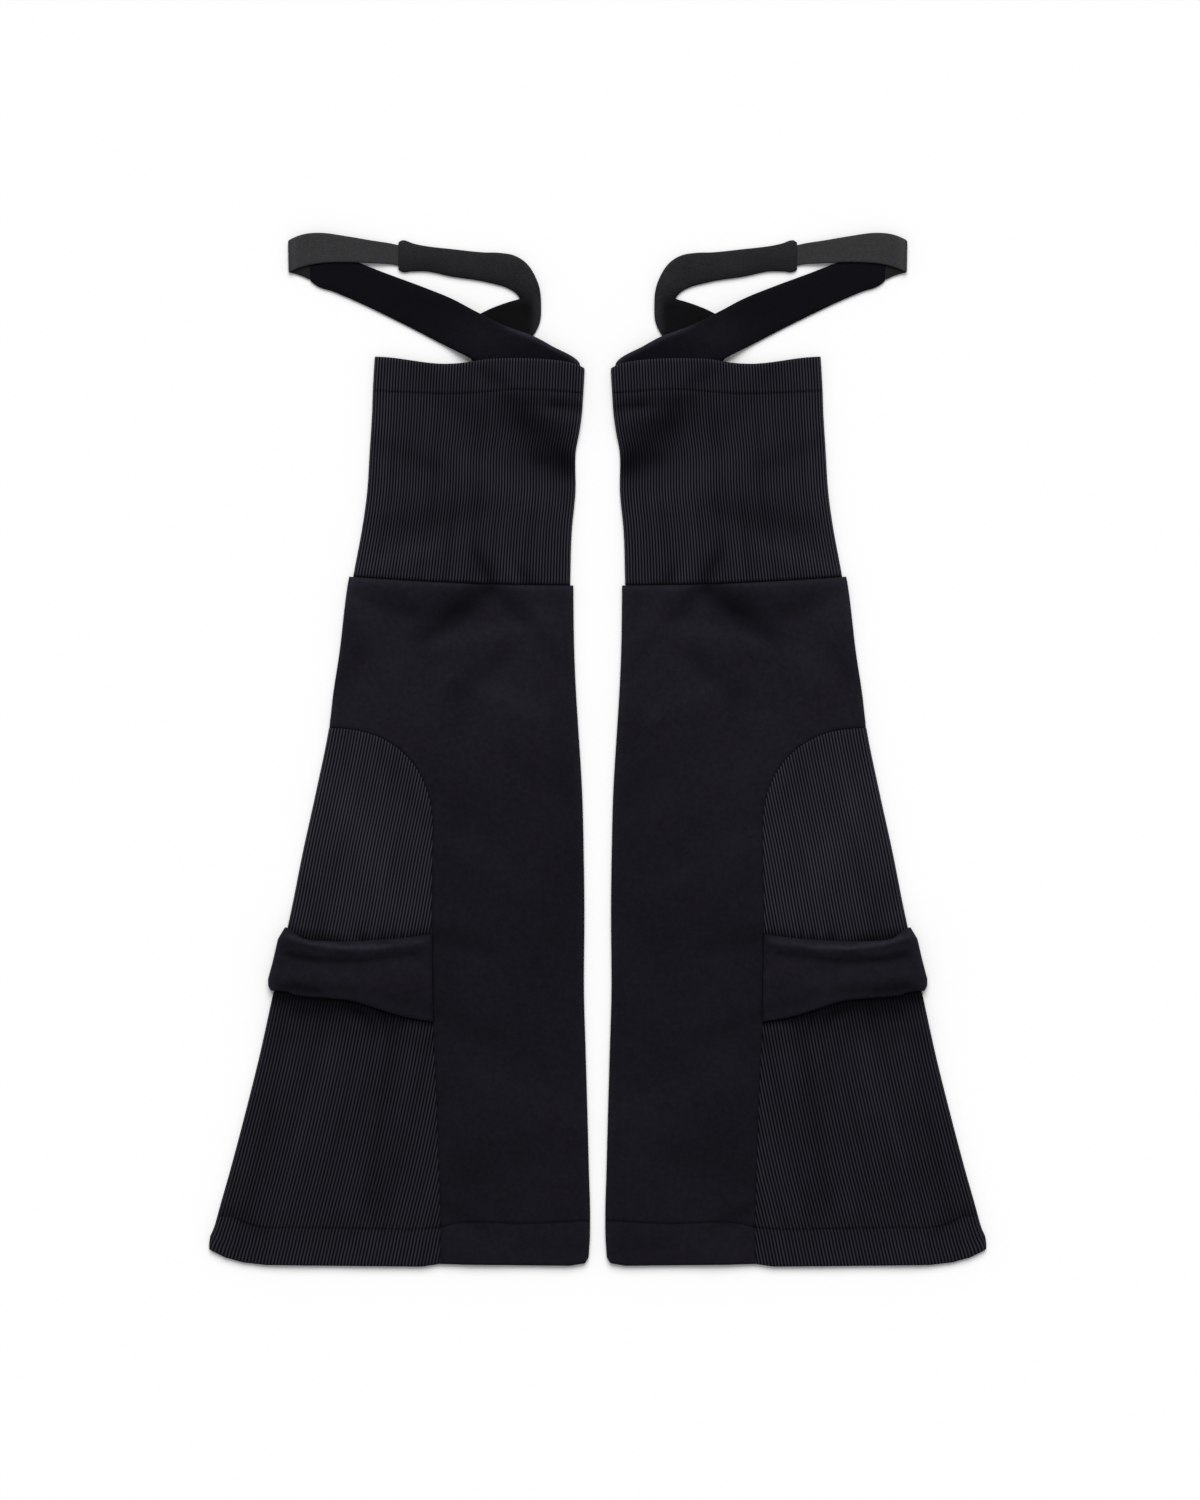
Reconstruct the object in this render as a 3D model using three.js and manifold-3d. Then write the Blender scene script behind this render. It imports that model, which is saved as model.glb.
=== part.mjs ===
// Pair of flared leg warmers laid flat side by side, millimetres, +Z up, undersides at z = 0.
// One leg is worked out in a plan of its own: out is the distance from the pair's centre line,
// along is the place up the leg, and the other leg is its mirror image.
import * as THREE from "three";
import Module from "manifold-3d";

const wasm = await Module();
wasm.setup();

// Cloth walls and the gaps between pieces; the front layer lies on the back one
const seamGap = 0.3;
const cuffSeamGap = 0.45;
const backWall = 1.5;
const ribGround = 1.2;
const ribHeight = 0.6;
const smoothWall = 2.0;
const bandWall = 1.4;
const strapThickness = 2.4;
const elasticThickness = 1.1;
const frontFloor = backWall + seamGap;
const roomInside = 0.5;

// How cloth rounds off: at folds, at seams and at cut ends
const foldRadius = 2.4;
const seamRadius = 3.2;
const endRadius = 2.5;
const rimShare = 0.3;
const rimSteps = [0, 0.4, 1.5, seamRadius];
const underRise = 0.7 * backWall;
const underSteps = [0, 0.7, 2.6];

// Counts of ribs across the front layer
const cuffRibs = 74;
const godetRibs = 70;

// The tube's folded edges, a row for each section of the ribbed cuff
const cuffOutline = [
  { along: 276, inner: 9.0, outer: 155.8 },
  { along: 250.8, inner: 10.2, outer: 157.3 },
  { along: 236.8, inner: 11.0, outer: 157.8 },
  { along: 222.8, inner: 12.8, outer: 158.6 },
  { along: 208.8, inner: 15.4, outer: 159.5 },
  { along: 180.8, inner: 15.6, outer: 161.3 },
  { along: 152.8, inner: 18.2, outer: 165.1 },
  { along: 116, inner: 19.3, outer: 171.2 },
];

// The same below the cuff: the smooth panel's folded side and the outer fold of yoke and godet
const bodyOutline = [
  { along: 122, inner: 17.0, outer: 172.8 },
  { along: 110.8, inner: 17.0, outer: 175.0 },
  { along: 68.8, inner: 16.4, outer: 180.6 },
  { along: 40.8, inner: 15.2, outer: 184.9 },
  { along: 15.6, inner: 13.6, outer: 188.0 },
  { along: -29.2, inner: 10.9, outer: 197.1 },
  { along: -71.2, inner: 9.8, outer: 206.3 },
  { along: -113.2, inner: 9.3, outer: 214.6 },
  { along: -169.2, inner: 9.6, outer: 226.8 },
  { along: -211.2, inner: 8.4, outer: 236.0 },
  { along: -253.2, inner: 7.2, outer: 246.4 },
  { along: -295.2, inner: 6.1, outer: 257.5 },
  { along: -323.2, inner: 5.3, outer: 265.4 },
  { along: -347.8, inner: 5.6, outer: 271.3 },
  { along: -362, inner: 6.4, outer: 272.0 },
];

// Edges that cross the leg, from the inner side outwards
const cuffTop = [
  { out: 9, along: 266.9 },
  { out: 14.5, along: 269.5 },
  { out: 25, along: 271.8 },
  { out: 47.4, along: 273.4 },
  { out: 75.4, along: 273.0 },
  { out: 95, along: 270.6 },
  { out: 110.4, along: 270.2 },
  { out: 146.1, along: 274.6 },
  { out: 156, along: 275.2 },
];
const yokeTop = { inner: 17, outer: 173, low: 115.3, rise: 6.1, middle: 116.7 };
const hemEdge = [
  { out: 5.6, along: -353.5 },
  { out: 8.9, along: -358.7 },
  { out: 19.4, along: -360.5 },
  { out: 90.8, along: -359.8 },
  { out: 110, along: -359.2 },
  { out: 123, along: -361.2 },
  { out: 188.8, along: -360.5 },
  { out: 232.2, along: -360.0 },
  { out: 248, along: -358.2 },
  { out: 260.6, along: -354.7 },
  { out: 272, along: -349.0 },
];

// Arch seam between the smooth panel and the ribbed godet: a squarish quarter round, then nearly straight
const arch = { corner: 187.6, spring: -55, width: 72.2, height: 70.6, power: 2.25, steps: 10 };
const legSeam = [
  { along: -55, out: 115.4 },
  { along: -122, out: 116.2 },
  { along: -194, out: 115.0 },
  { along: -251.8, out: 112.4 },
  { along: -328.3, out: 110.0 },
  { along: -362, out: 110.0 },
];

// The band's two edges, a row for each section across it
const bandSections = [
  { out: 116.7, top: -128.6, bottom: -189.6 },
  { out: 135.6, top: -131.0, bottom: -186.3 },
  { out: 153.1, top: -132.4, bottom: -181.0 },
  { out: 171.3, top: -133.4, bottom: -175.5 },
  { out: 189.1, top: -133.4, bottom: -173.4 },
  { out: 207.0, top: -131.0, bottom: -172.0 },
  { out: 213.0, top: -126.5, bottom: -171.0 },
  { out: 216.0, top: -124.5, bottom: -169.5 },
  { out: 230.0, top: -124.5, bottom: -168.0 },
];

// How far the band stands out past the godet's fold, from its top edge to its bottom edge
const bandReach = [
  { share: 0, reach: 1.8 },
  { share: 0.18, reach: 5.2 },
  { share: 0.82, reach: 4.6 },
  { share: 0.93, reach: 3.4 },
  { share: 1, reach: 1.6 },
];
const bandWrap = { split: 3.5, clear: 0.35, turn: 0.95, round: 5 };

// How far the band's hidden back layer lifts the godet, along the leg
const bandLift = [
  { along: 20, lift: 0 },
  { along: -98, lift: 0 },
  { along: -122, lift: 1.75 },
  { along: -194, lift: 1.75 },
  { along: -216, lift: 0 },
  { along: -365, lift: 0 },
];

// Room for the straps in the top opening, across the leg
const strapRoom = [
  { out: 9, lift: 0 },
  { out: 12.5, lift: 2.2 },
  { out: 16, lift: 3.4 },
  { out: 30, lift: 4.2 },
  { out: 44, lift: 5.2 },
  { out: 56, lift: 5.9 },
  { out: 86, lift: 5.9 },
  { out: 97, lift: 1.2 },
  { out: 110, lift: 0 },
  { out: 158, lift: 0 },
];
const strapRoomFade = { from: 251, to: 208 };

// Soft creases, from one end to the other, with the half width and the depth of each trough
const cuffCreases = [
  { out: 44, along: 244, toOut: 13, toAlong: 239, reach: 5, depth: 0.9 },
  { out: 58, along: 222, toOut: 20, toAlong: 196, reach: 10, depth: 0.9 },
];
const yokeCreases = [
  { out: 155, along: 108, toOut: 134, toAlong: 96, reach: 9, depth: 0.8 },
  { out: 76, along: 114, toOut: 119, toAlong: 80, reach: 10, depth: 1.4 },
  { out: 76, along: 114, toOut: 52, toAlong: 97, reach: 8, depth: 1.1 },
  { out: 101, along: 58, toOut: 70, toAlong: 43, reach: 10, depth: 0.7 },
];
const bandCreases = [
  { out: 218, along: -142, toOut: 176, toAlong: -144, reach: 6, depth: 0.8 },
  { out: 176, along: -144, toOut: 134, toAlong: -139, reach: 5, depth: 0.6 },
];

// Turned hems: where the double cloth ends, how much thicker it lies and the length of the step
const hem = { cuffLine: 250.8, bodyLine: -329.3, extra: 0.35, step: 1 };

// Straps: a row for each section, with both edges of the band of cloth and the height of each
const lowerStrap = [
  { out: 201.4, along: 350.2, z: 1.25, toOut: 200.8, toAlong: 328.2, toZ: 1.25 },
  { out: 198.6, along: 350.9, z: 1.25, toOut: 197.2, toAlong: 325.2, toZ: 1.25 },
  { out: 183.5, along: 346.8, z: 1.25, toOut: 185.0, toAlong: 320.8, toZ: 1.25 },
  { out: 165.3, along: 340.4, z: 1.25, toOut: 168.0, toAlong: 313.6, toZ: 1.25 },
  { out: 151.0, along: 334.8, z: 1.25, toOut: 154.0, toAlong: 307.0, toZ: 1.25 },
  { out: 122.3, along: 324.1, z: 1.25, toOut: 127.0, toAlong: 293.6, toZ: 1.25 },
  { out: 101.0, along: 314.8, z: 2.3, toOut: 106.0, toAlong: 282.6, toZ: 2.1 },
  { out: 84.5, along: 305.5, z: 4.9, toOut: 93.5, toAlong: 276.2, toZ: 5.4 },
  { out: 65.3, along: 297.0, z: 5.4, toOut: 82.6, toAlong: 270.4, toZ: 6.1 },
  { out: 44.6, along: 289.4, z: 5.5, toOut: 69.6, toAlong: 265.0, toZ: 6.1 },
  { out: 32.4, along: 282.0, z: 5.0, toOut: 58.0, toAlong: 261.2, toZ: 5.9 },
  { out: 17.2, along: 270.6, z: 3.1, toOut: 44.0, toAlong: 258.6, toZ: 4.4 },
  { out: 17.5, along: 264.4, z: 3.1, toOut: 34.0, toAlong: 257.4, toZ: 3.6 },
];
const upperStrap = [
  { out: 139.2, along: 355.6, z: 1.25, toOut: 139.2, toAlong: 336.6, toZ: 1.25 },
  { out: 136.6, along: 357.0, z: 1.25, toOut: 136.6, toAlong: 335.4, toZ: 1.25 },
  { out: 129.0, along: 354.6, z: 1.25, toOut: 130.4, toAlong: 335.3, toZ: 1.25 },
  { out: 119.5, along: 352.7, z: 1.25, toOut: 119.5, toAlong: 334.6, toZ: 1.25 },
  { out: 101.0, along: 350.6, z: 1.25, toOut: 102.0, toAlong: 331.3, toZ: 1.25 },
  { out: 80.0, along: 348.4, z: 1.4, toOut: 83.0, toAlong: 328.5, toZ: 1.25 },
  { out: 68.4, along: 348.0, z: 1.8, toOut: 73.3, toAlong: 326.4, toZ: 1.25 },
  { out: 57.9, along: 346.0, z: 2.2, toOut: 66.0, toAlong: 324.4, toZ: 1.25 },
  { out: 49.5, along: 340.4, z: 2.4, toOut: 60.6, toAlong: 322.0, toZ: 1.25 },
  { out: 43.9, along: 332.0, z: 2.5, toOut: 57.2, toAlong: 319.6, toZ: 1.25 },
  { out: 40.4, along: 322.2, z: 2.4, toOut: 55.3, toAlong: 317.4, toZ: 1.25 },
  { out: 39.6, along: 310.3, z: 2.0, toOut: 55.0, toAlong: 315.8, toZ: 1.25 },
  { out: 40.2, along: 300.4, z: 1.3, toOut: 58.6, toAlong: 314.4, toZ: 1.25 },
  { out: 44.6, along: 291.0, z: 1.25, toOut: 66.0, toAlong: 312.4, toZ: 1.25 },
  { out: 52.6, along: 283.6, z: 1.25, toOut: 76.0, toAlong: 308.6, toZ: 1.25 },
  { out: 58.0, along: 279.6, z: 1.7, toOut: 83.6, toAlong: 299.0, toZ: 1.25 },
  { out: 60.0, along: 275.2, z: 3.05, toOut: 85.2, toAlong: 281.6, toZ: 3.05 },
  { out: 60.4, along: 262.6, z: 3.05, toOut: 83.6, toAlong: 264.4, toZ: 3.05 },
];
const elasticRun = [
  { out: 140.0, along: 353.6, z: 1.3, toOut: 140.0, toAlong: 339.2, toZ: 1.3 },
  { out: 144.5, along: 354.6, z: 1.6, toOut: 144.5, toAlong: 339.9, toZ: 1.6 },
  { out: 158.0, along: 356.6, z: 2.9, toOut: 157.0, toAlong: 340.5, toZ: 3.1 },
  { out: 175.5, along: 359.5, z: 3.5, toOut: 174.5, toAlong: 341.3, toZ: 3.5 },
  { out: 193.8, along: 361.9, z: 3.5, toOut: 193.8, toAlong: 340.6, toZ: 3.5 },
  { out: 205.5, along: 361.0, z: 3.5, toOut: 205.5, toAlong: 338.4, toZ: 3.5 },
  { out: 212.6, along: 358.6, z: 3.3, toOut: 212.4, toAlong: 336.0, toZ: 3.3 },
  { out: 214.8, along: 357.4, z: 2.4, toOut: 214.5, toAlong: 334.9, toZ: 2.4 },
  { out: 212.8, along: 357.2, z: 1.5, toOut: 212.6, toAlong: 334.4, toZ: 1.5 },
  { out: 207.5, along: 354.8, z: 1.25, toOut: 207.0, toAlong: 331.8, toZ: 1.25 },
  { out: 201.8, along: 351.0, z: 1.25, toOut: 201.3, toAlong: 329.4, toZ: 1.25 },
];
const strapEdge = { inset: 2.2, elasticInset: 0.8, shoulder: 0.35, drop: 0.75 };

// Whole plan of the godet's cutter, past every edge of the cloth
const cutter = { out: 290, along: -380, height: 30, rise: 0.5 };

const materials = {
  rib: new THREE.MeshStandardMaterial({ color: 0x1e1d22, roughness: 0.85, metalness: 0 }),
  smooth: new THREE.MeshStandardMaterial({ color: 0x1b1a20, roughness: 0.75, metalness: 0 }),
  elastic: new THREE.MeshStandardMaterial({ color: 0x363638, roughness: 0.8, metalness: 0 }),
};

const { lerp, clamp, smoothstep } = THREE.MathUtils;

// A named column of a table against its key, smooth or in straight steps.
function curveOf(rows, key, column, Interpolant = THREE.CubicInterpolant) {
  const sorted = [...rows].sort((a, b) => a[key] - b[key]);
  const places = sorted.map((row) => row[key]);
  const values = sorted.map((row) => row[column]);
  const interpolant = new Interpolant(places, values, 1, new Float64Array(1));
  return (at) => interpolant.evaluate(clamp(at, places[0], places[places.length - 1]))[0];
}

const cuffInner = curveOf(cuffOutline, "along", "inner");
const cuffOuter = curveOf(cuffOutline, "along", "outer");
const bodyInner = curveOf(bodyOutline, "along", "inner");
const bodyOuter = curveOf(bodyOutline, "along", "outer");
const cuffTopAt = curveOf(cuffTop, "out", "along");
const hemAt = curveOf(hemEdge, "out", "along", THREE.LinearInterpolant);
const legSeamAt = curveOf(legSeam, "along", "out", THREE.LinearInterpolant);
const bandTopAt = curveOf(bandSections, "out", "top", THREE.LinearInterpolant);
const bandBottomAt = curveOf(bandSections, "out", "bottom", THREE.LinearInterpolant);
const bandReachAt = curveOf(bandReach, "share", "reach", THREE.LinearInterpolant);
const bandLiftAt = curveOf(bandLift, "along", "lift", THREE.LinearInterpolant);
const strapRoomAt = curveOf(strapRoom, "out", "lift", THREE.LinearInterpolant);

// The seam between cuff and yoke, which bows up towards the outer side.
function yokeTopAt(out) {
  const share = (out - yokeTop.inner) / (yokeTop.outer - yokeTop.inner);
  return yokeTop.low + yokeTop.rise * share * Math.abs(share);
}

// 0 at an edge, rising round to 1 at the radius.
function roundOver(distance, radius) {
  const rest = 1 - clamp(distance / radius, 0, 1);
  return Math.sqrt(1 - rest * rest);
}

// Depth of the troughs at a place.
function creaseDepth(creases, out, along) {
  let depth = 0;
  for (const crease of creases) {
    const runOut = crease.toOut - crease.out;
    const runAlong = crease.toAlong - crease.along;
    const length = Math.hypot(runOut, runAlong);
    const on = ((out - crease.out) * runOut + (along - crease.along) * runAlong) / length;
    const off = ((out - crease.out) * runAlong - (along - crease.along) * runOut) / length;
    const past = Math.max(0, -on, on - length);
    const away = (off * off + past * past) / crease.reach ** 2;
    depth = Math.max(depth, crease.depth * Math.exp(-away));
  }
  return depth;
}

// Extra height of the doubled cloth past a hem's line.
function hemRelief(along, line, towards) {
  return (along - line) * towards > 0 ? hem.extra : 0;
}

// Triangles of a sheet of rows, facing up or down.
function sheetFaces(rows, facingUp, put) {
  for (let i = 0; i + 1 < rows.length; i++) {
    for (let j = 0; j + 1 < rows[i].length; j++) {
      const [a, b] = [rows[i][j], rows[i + 1][j]];
      const [c, d] = [rows[i + 1][j + 1], rows[i][j + 1]];
      if (facingUp) put([a, b, c], [a, c, d]);
      else put([a, c, b], [a, d, c]);
    }
  }
}

// The sheet's four sides in turn, each as a list of points, anticlockwise seen from above.
function sidesOf(rows) {
  const last = rows.length - 1;
  const end = rows[0].length - 1;
  return [
    rows.map((row) => row[0]),
    [...rows[last]],
    rows.map((row) => row[end]).reverse(),
    [...rows[0]].reverse(),
  ];
}

// How far along a side each of its points lies, from 0 to 1.
function shareAlong(side) {
  const reached = [0];
  for (let k = 1; k < side.length; k++) {
    const step = Math.hypot(side[k].x - side[k - 1].x, side[k].y - side[k - 1].y);
    reached.push(reached[k - 1] + step);
  }
  return reached.map((length) => length / reached[reached.length - 1]);
}

// Wall between an upper and a lower side that may have different numbers of points.
function joinSides(upper, lower, put) {
  const upperShare = shareAlong(upper);
  const lowerShare = shareAlong(lower);
  let i = 0;
  let j = 0;
  while (i < upper.length - 1 || j < lower.length - 1) {
    const upperNext = i < upper.length - 1 ? upperShare[i + 1] : Infinity;
    const lowerNext = j < lower.length - 1 ? lowerShare[j + 1] : Infinity;
    if (upperNext <= lowerNext) {
      put([upper[i], lower[j], upper[i + 1]]);
      i += 1;
    } else {
      put([upper[i], lower[j], lower[j + 1]]);
      j += 1;
    }
  }
}

// Closed cloth wall between an upper and a lower sheet of points.
function closedWall(upper, lower) {
  const positions = [];
  const put = (...triangles) => {
    for (const triangle of triangles) {
      for (const point of triangle) positions.push(point.x, point.y, point.z);
    }
  };
  sheetFaces(upper, true, put);
  sheetFaces(lower, false, put);
  const upperSides = sidesOf(upper);
  sidesOf(lower).forEach((side, k) => joinSides(upperSides[k], side, put));
  return new THREE.BufferGeometry().setAttribute("position", new THREE.Float32BufferAttribute(positions, 3));
}

// Places from one edge to the other: close steps at both edges, even ones between.
function placesAcross(from, to, count, edgeSteps = rimSteps) {
  const towards = Math.sign(to - from);
  const near = edgeSteps.map((step) => from + towards * step);
  const far = edgeSteps.map((step) => to - towards * step).reverse();
  const start = near[near.length - 1];
  const end = far[0];
  const middle = [];
  for (let k = 1; k < count; k++) middle.push(lerp(start, end, k / count));
  return [...near, ...middle, ...far];
}

// Even places, with both ends.
function evenPlaces(from, to, count) {
  return Array.from({ length: count + 1 }, (_, k) => lerp(from, to, k / count));
}

// The layers part over the godet from this place outwards
const godetPuffFrom = 60;

// Room between the two layers, none at the folds.
function puffAt(out, inner, outer) {
  const share = clamp((out - inner) / (outer - inner), 0, 1);
  return roomInside * Math.sin(Math.PI * share);
}

// Height of the cuff's front layer over the straps.
function cuffLift(out, along) {
  return strapRoomAt(out) * smoothstep(along, strapRoomFade.to, strapRoomFade.from);
}

// One row of points across the cuff.
function cuffRow(station, shares, heightAt) {
  const inner = cuffInner(station);
  const outer = cuffOuter(station);
  return shares.map((share, k) => {
    const out = lerp(inner, outer, share);
    const top = cuffTopAt(out) - cuffStations.top;
    const bottom = yokeTopAt(out) + cuffSeamGap - cuffStations.seam;
    const towardsTop = smoothstep(station, cuffBend.top, cuffStations.top);
    const towardsSeam = 1 - smoothstep(station, cuffStations.seam, cuffBend.seam);
    const along = station + top * towardsTop + bottom * towardsSeam;
    return new THREE.Vector3(out, along, heightAt(out, along, Math.min(out - inner, outer - out), k));
  });
}

const cuffStations = { top: cuffTop[4].along, seam: yokeTop.middle };
const cuffBend = { top: 225, seam: 165 };

// Ribbed front of the cuff: ribs raised on the outside, plain inside.
function cuffFront() {
  const { top, seam } = cuffStations;
  const line = hem.cuffLine;
  const stations = [top, line + hem.step, line - hem.step, 225, 200, seam + endRadius, seam];
  const shares = evenPlaces(0, 1, cuffRibs * 2);
  const upper = stations.map((station) =>
    cuffRow(station, shares, (out, along, fromFold, k) => {
      const rib = k % 2 ? ribHeight : 0;
      const fromEnd = Math.min(top - station + endRadius / 2, station - seam + endRadius / 5);
      const round = Math.min(roundOver(fromFold, foldRadius), roundOver(fromEnd, endRadius));
      const low = frontFloor + cuffLift(out, along) + puffAt(out, cuffInner(station), cuffOuter(station));
      const relief = hemRelief(station, line, 1) - creaseDepth(cuffCreases, out, along);
      return low + (ribGround + rib + relief * Number(fromFold > 1)) * lerp(rimShare, 1, round);
    }),
  );
  const insideShares = [0, 0.024, 0.05, 0.14, 0.27, 0.34, 0.52, 0.6, 0.68, 0.84, 1];
  const insideStations = [top, line, 225, 200, seam];
  const lower = insideStations.map((station) =>
    cuffRow(station, insideShares, (out, along) => {
      const inner = cuffInner(station);
      const outer = cuffOuter(station);
      const low = frontFloor + cuffLift(out, along) + puffAt(out, inner, outer);
      return Math.max(frontFloor, low - creaseDepth(cuffCreases, out, along) * 0.5);
    }),
  );
  return closedWall(upper, lower);
}

// Flat back of the cuff, its underside on the surface.
function cuffBack() {
  const { top, seam } = cuffStations;
  const stations = [top, 232, 204, 180, 150, seam];
  const upper = stations.map((station) => cuffRow(station, evenPlaces(0, 1, 6), () => backWall));
  const underShares = [0, 0.004, 0.016, 0.25, 0.5, 0.75, 0.984, 0.996, 1];
  const lower = stations.map((station) =>
    cuffRow(station, underShares, (out, along, fromFold) => {
      return underRise * (1 - roundOver(fromFold, foldRadius));
    }),
  );
  return closedWall(upper, lower);
}

// The arch seam's point at an angle, and the way across it into the smooth panel.
function archPoint(angle) {
  const flat = Math.cos(angle) ** (2 / arch.power);
  const rise = Math.sin(angle) ** (2 / arch.power);
  const out = arch.corner - arch.width * flat;
  const along = arch.spring + arch.height * rise;
  const normal = new THREE.Vector2(-flat / arch.width, rise / arch.height).normalize();
  return { out, along, normal };
}

// The smooth panel's outer boundary from the yoke's top to the hem, with the way into the cloth.
function panelBoundary(alongs, hemStation) {
  const points = [];
  const acrossFold = new THREE.Vector2(-1, 0);
  for (const along of alongs.fold) points.push({ out: bodyOuter(along), along, normal: acrossFold });
  const corner = arch.spring + arch.height;
  points.push({ out: bodyOuter(corner), along: corner, normal: new THREE.Vector2(-0.7, 0.7) });
  for (let k = arch.steps - 1; k >= 0; k--) points.push(archPoint((k / arch.steps) * (Math.PI / 2)));
  for (const along of alongs.seam) points.push({ out: legSeamAt(along), along, normal: acrossFold });
  points.push({ out: legSeamAt(hemStation), along: hemStation, normal: acrossFold });
  return points;
}

const panelStations = {
  top: yokeTop.middle,
  hem: -360,
  front: {
    fold: [116.7, 116.1, 114.6, 108, 100, 92, 84, 74, 64, 54, 44, 34, 22],
    seam: [-98, -122, -158, -194, -216, -251.8, -328.3, -330.3, -357.5, -359.3],
  },
  inside: { fold: [116.7, 95, 70, 45, 22], seam: [-98, -122, -194, -216, -251.8, -328.3] },
  back: { fold: [116.7, 70, 22], seam: [-122, -194, -251.8, -328.3] },
};
const panelBend = { top: 60, hem: -335 };
const panelRise = { from: 85, to: 114 };
const panelColumns = { front: 13, inside: 4, back: 3 };

// One row of the smooth panel, from the inner fold to its outer boundary.
function panelRow(edge, steps, count, heightAt) {
  const rim = steps[steps.length - 1];
  const inside = {
    out: edge.out + edge.normal.x * rim,
    along: edge.along + edge.normal.y * rim,
  };
  const inner = bodyInner(inside.along);
  const straight = placesAcross(inner, inside.out + rim, count, steps).slice(0, -steps.length);
  const row = straight.map((out) => ({ out, along: inside.along, toEdge: rim + inside.out - out }));
  row.push({ ...inside, toEdge: rim });
  for (const toEdge of [...steps].reverse().slice(1)) {
    const { normal } = edge;
    row.push({ out: edge.out + normal.x * toEdge, along: edge.along + normal.y * toEdge, toEdge });
  }
  return row.map((place) => {
    const { out } = place;
    const towardsTop = smoothstep(place.along, panelBend.top, panelStations.top);
    const towardsHem = 1 - smoothstep(place.along, panelStations.hem, panelBend.hem);
    const top = (yokeTopAt(out) - panelStations.top) * towardsTop;
    const bottom = (hemAt(out) - panelStations.hem) * towardsHem;
    const along = place.along + top + bottom;
    const toEdge = Math.min(out - inner, place.toEdge);
    return new THREE.Vector3(out, along, heightAt(out, along, toEdge, place.along));
  });
}

// How the smooth panel rises to meet the band that is sewn into its seam.
function panelLift(out, along) {
  return bandLiftAt(along) * smoothstep(out, panelRise.from, panelRise.to);
}

// Smooth front panel: yoke over the whole width, then the inner side down to the hem.
function mainFront() {
  const stations = panelStations;
  const boundary = panelBoundary(stations.front, stations.hem);
  const low = (out, along) => {
    return frontFloor + panelLift(out, along) + puffAt(out, bodyInner(along), bodyOuter(along));
  };
  const upper = boundary.map((edge) =>
    panelRow(edge, rimSteps, panelColumns.front, (out, along, toEdge, station) => {
      const toEnd = Math.min(stations.top - station, station - stations.hem);
      const round = Math.min(roundOver(toEdge, seamRadius), roundOver(toEnd, seamRadius));
      const relief = hemRelief(station, hem.bodyLine, -1) - creaseDepth(yokeCreases, out, along);
      return low(out, along) + (smoothWall + relief * round) * lerp(rimShare, 1, round);
    }),
  );
  const insideSteps = [0, 3];
  const lower = panelBoundary(stations.inside, stations.hem).map((edge) =>
    panelRow(edge, insideSteps, panelColumns.inside, (out, along) => {
      return Math.max(frontFloor, low(out, along) - creaseDepth(yokeCreases, out, along) * 0.5);
    }),
  );
  return closedWall(upper, lower);
}

// Smooth back panel, flat on the surface.
function mainBack() {
  const boundary = panelBoundary(panelStations.back, panelStations.hem);
  const upper = boundary.map((edge) => panelRow(edge, [0, underSteps[2]], panelColumns.back, () => backWall));
  const lower = boundary.map((edge) =>
    panelRow(edge, underSteps, panelColumns.back, (out, along, toEdge) => {
      return underRise * (1 - roundOver(toEdge, foldRadius));
    }),
  );
  return closedWall(upper, lower);
}

// Everything outside the arch seam, as a solid that trims the godet.
function godetRegion() {
  const shape = new THREE.Shape();
  const gap = seamGap;
  shape.moveTo(cutter.out, arch.spring + arch.height + cutter.rise);
  for (let k = 0; k < arch.steps; k++) {
    const point = archPoint(((arch.steps - k) / arch.steps) * (Math.PI / 2));
    shape.lineTo(point.out - point.normal.x * gap, point.along - point.normal.y * gap);
  }
  for (const row of legSeam) shape.lineTo(row.out + gap, row.along);
  shape.lineTo(legSeam[legSeam.length - 1].out + gap, cutter.along);
  shape.lineTo(cutter.out, cutter.along);
  const prism = new THREE.ExtrudeGeometry(shape, { depth: cutter.height, bevelEnabled: false });
  return prism.translate(0, 0, -cutter.height / 3);
}

// A solid of a geometry, with its shared points merged.
function solidOf(geometry) {
  const places = geometry.getAttribute("position").array;
  const found = new Map();
  const vertices = [];
  const triangles = [];
  for (let k = 0; k < places.length; k += 3) {
    const key = `${places[k].toFixed(4)},${places[k + 1].toFixed(4)},${places[k + 2].toFixed(4)}`;
    if (!found.has(key)) {
      found.set(key, vertices.length / 3);
      vertices.push(places[k], places[k + 1], places[k + 2]);
    }
    triangles.push(found.get(key));
  }
  const mesh = new wasm.Mesh({
    numProp: 3,
    vertProperties: new Float32Array(vertices),
    triVerts: new Uint32Array(triangles),
  });
  return new wasm.Manifold(mesh);
}

// Cut a wall to the godet's region.
function trimToGodet(wall) {
  const region = godetRegion();
  const cut = solidOf(wall).intersect(solidOf(region.index ? region.toNonIndexed() : region));
  const mesh = cut.getMesh();
  const positions = [];
  for (const vertex of mesh.triVerts) {
    for (let axis = 0; axis < 3; axis++) positions.push(mesh.vertProperties[vertex * mesh.numProp + axis]);
  }
  return new THREE.BufferGeometry().setAttribute("position", new THREE.Float32BufferAttribute(positions, 3));
}

const godetStations = [17, -98, -122, -194, -216, -328.3, -330.3, -361.5];
const godetSpread = { narrow: 0.93, from: 60, to: 350, sparePitch: 1, spareRibs: 4, pitchAt: -347 };

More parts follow.
